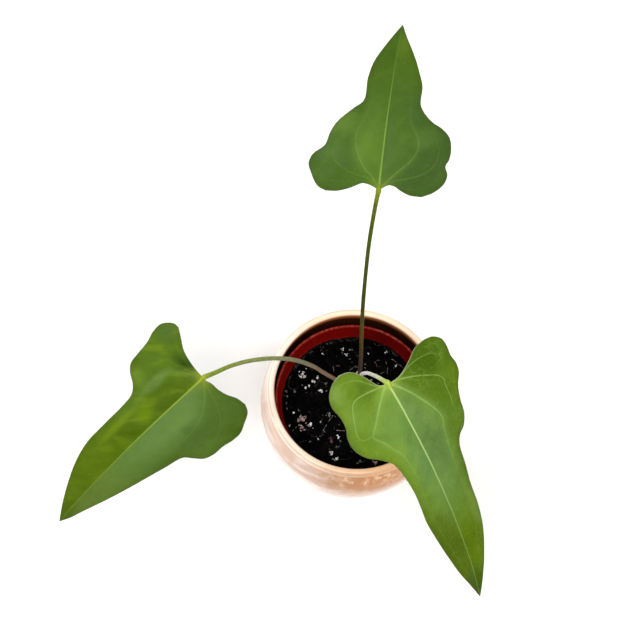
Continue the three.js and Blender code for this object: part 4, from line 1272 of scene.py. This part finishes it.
def broad_relief(leaf, x, y):
    """The CAD model's relief: 0.12 |x| - 0.0035 x^2 + waves that grow towards the edge - drooping lobes."""
    out = np.abs(x)
    edge = np.minimum(out / WAVE_HALF_WIDTH, 1.2) ** 2
    phase = np.where(x < 0, *leaf["wave_phase"])
    wave = WAVE_HEIGHT * edge * np.sin(2 * np.pi * (y / WAVE_LENGTH + phase))
    behind = np.clip((12 - y) / 25, 0, 1)
    return 0.12 * out - 0.0035 * out ** 2 + wave - 3 * edge * behind ** 2


def curled(leaf, x, y, height):
    """Bends the flat blade as an arc: angle = rate * y, and a height stands square to the arc.
    Behind the joint the rate is 0.4 of the rate ahead of it."""
    ahead_rate = math.radians(leaf["bend"]) / leaf["length"]
    rate = np.where(y < 0, 0.4 * ahead_rate, ahead_rate)
    angle = rate * y
    along = np.sin(angle) / rate + height * np.sin(angle)
    return np.stack([x, along, (np.cos(angle) - 1) / rate + height * np.cos(angle)], -1)


def hung(leaf, points):
    """From the leaf's frame to the world: pitch about x, bank about y, heading about z, then to its joint."""
    pitch, bank, heading = (math.radians(v) for v in (-leaf["pitch"], -leaf["bank"], leaf["heading"] - 90))
    turn = Matrix.Rotation(heading, 3, "Z") @ Matrix.Rotation(bank, 3, "Y") @ Matrix.Rotation(pitch, 3, "X")
    return points @ np.array(turn).T + np.array(leaf["stalk"][-1]) + PLANT_PLACE


for name, leaf in LEAVES.items():
    tip = hung(leaf, curled(leaf, 0.0, np.array(leaf["length"]), 0.0))
    print("The tip of the", name, "leaf is near", tip.round(1).tolist(), "mm")

# %% [markdown]
# ## Veins
# The midrib is the strongest line. Three pairs of veins leave the joint: the inner pair swings out and then
# runs along the edge to the tip, and the others loop through the lobes. A vein is narrower than the mesh is
# fine, so the mesh carries its signed distance, and the shader draws the line where that number passes 0.

# %% Vein formulas
SIDE_VEIN_GAP = 15.0
VEIN_WIDTH = 0.68
VEIN_STEPS = 60


def half_veins(leaf, side, x, y, seed):
    """For one half, at each place: the signed distance to each of the three veins in vein widths, how
    strongly the nearest one shows, the count of side veins up to here, the depth of the nearest vein and the
    distance to it, and a field that rises to 1 inside the inner vein. A vein narrows to 0.6 of its width at
    its end, and near the joint it is up to 1.8 times as wide."""
    out = np.abs(x)
    cut, gap, power, weight = 0 * x, out.copy(), 0 * x, 0 * x + 1e-9
    distances = []
    for rank, points in enumerate(leaf[side]["veins"]):
        path = spline(points, np.linspace(0, 1, VEIN_STEPS))
        distance, share = nearest(path, x, y)
        width = (VEIN_WIDTH - 0.08 * rank) * (1 - 0.4 * share) * (1 + 0.8 * np.exp(-np.hypot(x, y) / 9))
        near = np.exp(-(distance / 2.5) ** 2)
        if rank == 0:
            shown = np.clip(1 - share / 0.6, 0.08, 1)
            inward = distance * (1 if side == "right" else -1)
        else:
            shown = (1 - 0.12 * rank) * (1 - share) ** 0.35
        shown = shown * (share > 0)
        power = power + near * shown
        weight = weight + near
        distances.append(distance / width)
        cut = np.maximum(cut, np.exp(-(distance / (width + 0.5)) ** 2) * shown)
        gap = np.minimum(gap, np.abs(distance))
    jitter = 2.0 * lattice_noise(np.stack([0 * x, y, 0 * x], -1), 11.0, seed)
    count = (y - 1.9 * out + jitter) / SIDE_VEIN_GAP
    field = np.clip((inward + 5) / 13, 0, 1) * np.clip(y / 6, 0, 1)
    return [*distances, power / weight, count, cut, gap, field]


def midrib(leaf, x, y):
    """The midrib's relief: a trough 3 mm wide with a low round rib in it, both flatter towards the tip."""
    share = np.clip(y / leaf["length"], 0, 1)
    relief = -0.4 * np.exp(-(x / 3.0) ** 2) + 0.35 * np.exp(-(x / (0.9 - 0.4 * share)) ** 2)
    return relief * np.clip(1.1 - share, 0, 1)


print("A blade has a midrib, 6 measured veins, and a faint side vein every", SIDE_VEIN_GAP, "mm")

# %% [markdown]
# ## The blade as a closed skin
# Top and underside are the same grid at two heights, 0.3 mm apart at the edge and 0.6 mm further in. A narrow
# band round the outline joins them, and at the tip the last row shrinks to one point. Under the midrib the
# lower grid hangs deeper, as a rounded bar.

# %% Blade shape
EDGE_HALF, INNER_HALF = 0.16, 0.32  # half of the sheet's thickness


def blade_grid(leaf, order):
    """The whole blade as one grid: rows from the joint to the tip, columns from the left edge to the right.
    Rows stand a little closer towards the tip, and columns towards the midrib."""
    u = np.linspace(0, 1, BLADE_ROWS) ** 0.92
    v = np.linspace(0, 1, BLADE_COLUMNS) ** 1.2
    halves = []
    for k, side in enumerate(("left", "right")):
        x, y = half_blade(leaf, side, u, v)
        halves.append(np.stack([x, y, *half_veins(leaf, side, x, y, 60 + 10 * order + k)], -1))
    grid = np.concatenate([halves[0][:, :0:-1], halves[1]], 1)
    return np.moveaxis(grid, -1, 0)


def edge_distance(x, y):
    """Distance from each place of a blade to its outline."""
    ring = np.vstack([np.stack([x[0], y[0]], -1), np.stack([x[1:, -1], y[1:, -1]], -1),
                      np.stack([x[-2::-1, 0], y[-2::-1, 0]], -1)])[::3]
    return np.abs(nearest(np.vstack([ring, ring[:1]]), x, y)[0])


def blade_shape(leaf, order):
    """Top and underside of the sheet as two grids, joined round the outline by a narrow band."""
    x, y, first, second, third, power, count, cut, gap, field = blade_grid(leaf, order)
    flat = np.stack([x, y, 0 * x + 40 * order], -1)
    soft = 0.34 * lattice_noise(flat, 13.0, 71) + 0.12 * lattice_noise(flat, 4.5, 72)
    across_fold = np.stack([x - y, 0.3 * (x + y), 0 * x + 40 * order], -1)
    streaks = 0.35 * lattice_noise(across_fold, 6.0, 73) * np.clip(x * leaf["streaked"] / 6, 0, 1)
    side_cut = np.exp(-((count - np.round(count)) * SIDE_VEIN_GAP / 1.6) ** 2) * field
    margin = edge_distance(x, y)
    inner = np.clip(margin / 3.0, 0, 1)
    grooved = leaf["grooved"]
    detail = grooved * (0.1 * (1 - np.exp(-gap / 1.7)) - 0.16 * cut - 0.06 * side_cut) + soft + streaks
    height = broad_relief(leaf, x, y) + midrib(leaf, x, y) + inner * detail
    thick = EDGE_HALF + (INNER_HALF - EDGE_HALF) * np.clip(margin / 4, 0, 1)
    share = np.clip(y / leaf["length"], 0, 1)
    bar = (1.25 - 0.85 * share) * np.exp(-(x / (1.3 - 0.75 * share)) ** 4)
    bar = bar * np.clip((0.96 - share) / 0.1, 0, 1)
    under = 0.35 * cut * inner + bar * np.clip(y / 2.0, 0, 1)
    top = hung(leaf, curled(leaf, x, y, height + thick))
    bottom = hung(leaf, curled(leaf, x, y, height - thick - under))
    return stitched(top, bottom), {
        "first": first, "second": second, "third": third, "power": power, "count": count, "field": field,
        "margin": margin, "share": share, "across": x, "joint": np.exp(-np.hypot(x, y) / 3.2),
    }, np.stack([x, y], -1)


def stitched(top, bottom):
    """Two grids of the same size as one closed skin. The last row of each is a single point, the tip."""
    rows, columns = top.shape[:2]
    body = rows - 1
    count = body * columns
    points = np.vstack([top[:-1].reshape(-1, 3), top[-1:, 0], bottom[:-1].reshape(-1, 3), bottom[-1:, 0]])
    tip, low_tip, low = count, 2 * count + 1, count + 1
    sheet = band(body, columns, wrap=False)
    last = (body - 1) * columns + np.arange(columns - 1)
    cap = np.stack([last, last + 1, 0 * last + tip], -1)
    rim = np.concatenate([np.arange(columns), np.arange(1, body) * columns + columns - 1, [tip],
                          np.arange(body - 1, 0, -1) * columns])
    after = np.roll(rim, -1)
    side = np.stack([after, rim, rim + low, after + low], -1)
    under = sheet[:, ::-1] + low
    under_cap = np.stack([last + 1 + low, last + low, 0 * last + low_tip], -1)
    return points, [sheet, cap, side, under, under_cap]


print("A blade has about", 4 * BLADE_ROWS * 2 * BLADE_COLUMNS, "triangles")

# %% [markdown]
# ## The greens of each leaf
# A leaf is leathery and softly shiny. Its green is uneven: lighter and bluer inside the inner veins, darker
# in the lobes, and different again at the tip and from one half to the other. This is partly the leaf's own
# colour
# and partly painted light: a painted sheen lies in the field inside the inner veins and on one half of the
# left leaf, so the lobes and the tip, without it, look darker. Each leaf also has a few soft ovals of painted
# sheen and painted shade, where the photograph shows a lighter, darker or bluer green. All these places are
# set in the blade's flat frame, which the UV map carries, so they follow the leaf when it bends.

# %% Leaf colours
UV_SPAN = 220.0
UV_MIDDLE = (0.5, 0.15)
BLADE_LIGHT = 1.35
DEEP_SHADE = (0.55, 0.6, 0.5, 1)
# The yellower colour of the painted highlight in the streaks
STREAK_HIGHLIGHT_GREEN = (0.32, 0.44, 0.02, 1)

# Pairs are the left and the right half, except the rib's, which runs from the joint to the tip. The field,
# lobe and tip greens hold painted sheen. A patch is a soft oval of painted sheen or painted shade: x, y, half
# width, half length, colour and strength.
BLADE_TONES = {
    "back": {
        "field": [(96, 128, 51), (84, 115, 46)], "lobe": [(78, 108, 42), (74, 101, 46)],
        "tip": [(79, 108, 36), (84, 113, 37)], "rib": [(134, 170, 78), (98, 130, 52)],
        "vein": (122, 158, 70), "margin": (112, 118, 70), "notch": (112, 118, 70), "joint": (138, 156, 50),
        "strength": (0.55, 0.32, 0.14), "band": (0.15, 0.1), "streaks": (0.12, 0.06),
        "shine": 0.07, "haze": 0.008, "clouds": 0.25, "rim_shade": 0.2,
        "patches": [(-12, 26, 10, 22, (104, 138, 54), 0.5), (1, 66, 13, 26, (75, 105, 34), 0.5),
                    (28, 8, 14, 9, (72, 98, 50), 0.5), (-30, 26, 11, 16, (90, 124, 50), 0.5),
                    (4, 116, 6, 20, (104, 132, 38), 0.7), (-26, 46, 12, 12, (112, 142, 60), 0.7),
                    (26, 36, 12, 11, (94, 124, 58), 0.6)],
    },
    "left": {
        "field": [(104, 136, 68), (84, 111, 14)], "lobe": [(84, 112, 42), (93, 122, 34)],
        "tip": [(104, 130, 54), (96, 122, 24)], "rib": [(150, 176, 66), (120, 148, 52)],
        "vein": (122, 152, 64), "margin": (104, 112, 60), "notch": (104, 112, 60), "joint": (176, 190, 62),
        "strength": (0.35, 0.22, 0.15), "band": (0.0, 0.35), "streaks": (0.1, 0.4),
        "shine": 0.03, "haze": 0.004, "clouds": 0.25, "rim_shade": 0.25,
        "patches": [(15, 60, 3.5, 20, (132, 160, 24), 0.5), (18, 24, 4, 14, (116, 146, 76), 0.6),
                    (11, 4, 14, 8, (40, 66, 0), 0.85), (8, 42, 8, 9, (124, 156, 16), 0.5),
                    (-38, 6, 9, 16, (72, 96, 14), 0.6), (-22, 30, 13, 10, (76, 102, 44), 0.6),
                    (38, -2, 9, 9, (82, 110, 54), 0.6), (29, 30, 9, 7, (116, 150, 52), 0.6),
                    (0, 132, 9, 20, (82, 108, 0), 0.8)],
    },
    "right": {
        "field": [(116, 151, 76), (119, 156, 70)], "lobe": [(95, 125, 30), (115, 146, 42)],
        "tip": [(95, 121, 12), (87, 110, 0)], "rib": [(190, 218, 136), (116, 148, 68)],
        "vein": (166, 202, 108), "margin": (124, 120, 68), "notch": (222, 222, 190), "joint": (190, 212, 96),
        "strength": (0.64, 0.62, 0.5), "band": (0.15, 0.15), "streaks": (0.15, 0.15),
        "shine": 0.03, "haze": 0.004, "clouds": 0.45, "rim_shade": 0.4,
        "patches": [(4, 50, 9, 28, (100, 138, 78), 0.5), (-15, 90, 5, 26, (126, 154, 70), 0.6),
                    (11, 92, 7, 32, (84, 110, 0), 0.65), (-26, -1, 24, 13, (70, 100, 0), 0.75),
                    (28, 9, 11, 12, (134, 168, 72), 0.5), (-9, 42, 11, 28, (90, 122, 60), 0.75),
                    (13, -3, 11, 9, (84, 114, 30), 0.7), (32, -9, 9, 8, (146, 176, 84), 0.7),
                    (0, 136, 9, 22, (62, 86, 0), 0.85)],
    },
}


def paint(tones, colour):
    """The leaf's paint for a colour of the photograph."""
    return lit(*colour, BLADE_LIGHT, tones["haze"])


def halves(at, pair):
    """A number that changes at the midrib from the left half's value to the right half's."""
    low, high = pair
    return low + at["half"] * (high - low)


def oval(sheet, flow, x, y, wide, long):
    """1 at the place (x, y) of the flat blade, falling to 0 at the edge of an uneven oval."""
    middle = (x * MM + UV_MIDDLE[0] * UV_SPAN * MM, y * MM + UV_MIDDLE[1] * UV_SPAN * MM, 0.0)
    away = sheet.vector("SUBTRACT", sheet, middle)
    away = away.vector("MULTIPLY", away, (1 / (wide * MM), 1 / (long * MM), 0.0))
    reach = away.vector("LENGTH", away, out="Value")
    return (reach + (flow - 0.5) * 0.8).step(1.15, 0.1)


def greens(sheet, flow, at, tones):
    """The green by place: lobe, field inside the inner vein with its painted sheen, tip, soft ovals of
    painted sheen and painted shade, and a band of painted highlight along that vein.
    """
    sides = {key: [paint(tones, colour) for colour in tones[key]] for key in ("field", "lobe", "tip")}
    field, lobe, tip = (at["half"].mix(*pair) for pair in sides.values())
    tone = at["field"].mix(lobe, field)
    tone = at["share"].step(0.35, 0.7).mix(tone, tip)
    # Soft ovals of painted sheen and painted shade
    for x, y, wide, long, colour, strength in tones["patches"]:
        tone = (oval(sheet, flow, x, y, wide, long) * strength).mix(tone, paint(tones, colour))
    # A band of painted highlight along the inner vein
    band = abs(at["first"]).step(6.0, 0.5) * at["power"]
    return (band * halves(at, tones["band"])).mix(tone, paint(tones, tones["vein"]))


print("Soft ovals on the blades:", sum(len(tones["patches"]) for tones in BLADE_TONES.values()))

# %% [markdown]
# ## Leaf finish
# Over the greens come darker clouds, painted shade along the rim and streaks of painted light and shade, then
# a fine net of tiny veins, made from the walls of random cells. The measured veins are pale yellow-green
# lines.
# The midrib is a stronger one, and ends at the swollen joint. A thin line runs along the margin. The
# underside is paler and duller.

# %% Leaf finish
MESH_NUMBERS = ("first", "second", "third", "power", "count", "field", "margin", "share", "across", "under",
                "joint")
SWIRL = 4.0


def shaded(tone, flow, shade, at, tones):
    """Darker clouds, painted shade along the rim, and streaks of painted light and shade, some darker and
    some a yellower painted highlight, laid over the green.
    """
    tone = (shade * tones["clouds"]).mix(tone, DEEP_SHADE, "MULTIPLY")
    # Painted shade along the rim
    tone = (at["margin"].step(3.5, 0.2) * tones["rim_shade"]).mix(tone, DEEP_SHADE, "MULTIPLY")
    # Streaks of painted light and shade across the waves
    streak = halves(at, tones["streaks"]) * (1 - at["share"].step(0.3, 0.8) * 0.6)
    tone = (flow.step(0.5, 0.3) * streak * 0.6).mix(tone, DEEP_SHADE, "MULTIPLY")
    return (flow.step(0.52, 0.7) * streak * 0.3).mix(tone, STREAK_HIGHLIGHT_GREEN)


def vein_lines(sheet, at, strengths):
    """How much vein shows at each place: faint side veins between midrib and inner vein, small cross veins in
    the lobes, from the walls of swirled cells, and the three measured veins. PINGPONG gives the distance from
    the nearest whole number."""
    beside = at["count"].math("PINGPONG", at["count"], 0.5).step(0.035, 0.004)
    beside = beside * at["field"] * (1 - at["share"])
    swirl = sheet.node("TexNoise", {}, {"Vector": sheet, "Scale": 1 / (SWIRL * MM), "Detail": 2.0}, "Color")
    bent = sheet.vector("ADD", sheet, swirl.vector("MULTIPLY", swirl, (SWIRL * MM, SWIRL * MM, SWIRL * MM)))
    ladder = cells(bent, 6.5, "DISTANCE_TO_EDGE").step(0.08, 0.0) * noise(sheet, 11, 3).step(0.45, 0.6)
    ladder = ladder * (1 - at["field"]) * (1 - at["share"].step(0.1, 0.4))
    line = (beside * 0.1).larger(ladder * strengths[1] * 0.2)
    for key, strength in zip(("first", "second", "third"), strengths):
        vein = abs(at[key]).step(1.3, 0.1)
        line = line.larger(vein * at["power"] * strength * (0.2 + noise(sheet, 4, 4) * 1.5))
    return line


def with_rib_and_margin(tone, sheet, at, tones):
    """The midrib's line, the thin line along the edge, which is paler in the notch, and the swollen joint."""
    across, share = abs(at["across"]), at["share"]
    rib = across / (0.72 - share * 0.34 + share.step(0.14, 0.0) * 0.35)
    rib = rib.step(1.1, 0.1) * (1 - share.step(0.8, 1.0) * 0.6)
    tone = rib.mix(tone, share.step(0.1, 0.75).mix(*(paint(tones, colour) for colour in tones["rib"])))
    edge = at["margin"].step(0.5, 0.1) * (0.3 + noise(sheet, 9, 2) * 0.5)
    outer = share.step(0.0, 0.04).larger(across.step(22, 34))
    tone = edge.mix(tone, outer.mix(paint(tones, tones["notch"]), paint(tones, tones["margin"])))
    return at["joint"].mix(tone, paint(tones, tones["joint"]))


def blade_finish(name, tones):
    """Greens, shade, net, veins, rib and margin on top, a paler underside, and a little dust over it all."""
    material, shader, where = new_finish(name, Specular_IOR_Level=tones["shine"])
    sheet = where.node("UVMap", {"uv_map": "flat"})
    sheet = sheet.vector("MULTIPLY", sheet, (UV_SPAN * MM, UV_SPAN * MM, UV_SPAN * MM))
    at = {key: attribute(where, key) for key in MESH_NUMBERS}
    at["half"] = at["across"].step(-1.5, 1.5)
    clouds = noise(sheet, 24, 2, twist=0.5)
    mottle = noise(sheet, 5, 3)
    slant = {"Vector": sheet, "Angle": math.radians(40)}
    slanted = sheet.node("VectorRotate", {"rotation_type": "Z_AXIS"}, slant)
    flow = noise(slanted, 7, 2, stretch=(1.0, 0.35, 1.0), twist=0.5)
    shade = (clouds * 0.7 + mottle * 0.3).step(0.3, 0.7)
    tone = shaded(greens(sheet, flow, at, tones), flow, shade, at, tones)
    net = cells(sheet, 3.4, "DISTANCE_TO_EDGE").step(0.07, 0.01)
    fine = cells(sheet, 1.1, "DISTANCE_TO_EDGE").step(0.1, 0.02)
    line = vein_lines(sheet, at, tones["strength"])
    pale = paint(tones, tones["vein"])
    tone = line.mix((net * 0.05 + fine * 0.04).mix(tone, pale), pale)
    tone = with_rib_and_margin(tone, sheet, at, tones)
    below = (clouds * 0.5 + net * 0.5).mix(seen(104, 134, 70), seen(124, 150, 86))
    below = (line * 0.8).mix(below, seen(158, 176, 108))
    colour = at["under"].mix(tone, below)
    dust = cells(sheet, 6.5).step(0.06, 0.03) * noise(sheet, 17).step(0.52, 0.6) * (1 - at["under"])
    colour = (dust * 0.4).mix(colour, seen(180, 188, 160))
    roughness = 0.36 + mottle * 0.12 + at["under"] * 0.2 + dust * 0.3
    relief = net * -0.3 + fine * -0.2 + noise(sheet, 0.5, 2) * 0.2 + 0.6
    connect(shader, where, colour, roughness, relief, depth=0.05)
    return material


blade_skins = {name: blade_finish("leaf_skin_" + name, tones) for name, tones in BLADE_TONES.items()}
print("Leaf finishes:", ", ".join(skin.name for skin in blade_skins.values()))

# %% [markdown]
# ## Joints, and the leaves put together
# Where stalk and blade meet, a leaf has a short swollen knee that lets it turn to the light. It is a tube
# from the stalk's end through the joint and on under the midrib. It becomes one mesh with its blade, with
# numbers of its own that give it the joint's colour.

# %% Make the blades
KNEE_STEPS, KNEE_SIDES = 26, 22
KNEE_NUMBERS = {"margin": 9.0, "joint": 1.0}
KNEE_SPOT = 0.02  # the corner of the UV map that the knee uses, where no blade reaches


def knee(leaf):
    """A tube with radius = 0.5 + 1.25 e^(-((t - 0.22) / 0.26)^2) along a path through the joint."""
    joint = np.array(leaf["stalk"][-1]) + PLANT_PLACE
    back = unit(np.array(leaf["stalk"][-2], float) - np.array(leaf["stalk"][-1], float))
    y = np.array([2.6, 6.0, 10.0])
    ahead = hung(leaf, curled(leaf, 0 * y, y, np.array([-0.5, -0.8, -0.95])))
    t = np.linspace(0, 1, KNEE_STEPS)
    line = spline(np.vstack([joint + 3.6 * back, joint + 1.6 * back, joint, ahead]), t)
    radius = 0.5 + 1.25 * np.exp(-((t - 0.22) / 0.26) ** 2)
    return tube(line, radius, KNEE_SIDES)


def without_doubles(grid):
    """A grid's numbers as the stitched skin has them, with a single one for the tip."""
    return np.concatenate([grid[:-1].reshape(-1, *grid.shape[2:]), grid[-1:, 0]])


for order, (name, leaf) in enumerate(LEAVES.items()):
    sheet_shape, values, flat = blade_shape(leaf, order)
    knee_shape = knee(leaf)
    extra = len(knee_shape[0])
    places = without_doubles(flat) / UV_SPAN + UV_MIDDLE
    numbers = {"under": np.concatenate([np.zeros(len(places)), np.ones(len(places)), np.zeros(extra)])}
    for key, grid in values.items():
        once = without_doubles(grid)
        numbers[key] = np.concatenate([once, once, np.full(extra, KNEE_NUMBERS.get(key, 0.0))])
    uv = np.vstack([places, places, np.full((extra, 2), KNEE_SPOT)])
    shape = joined([sheet_shape, knee_shape])
    piece("leaf_blade_" + name, shape, blade_skins[name], ["blade_" + name], numbers, uv)
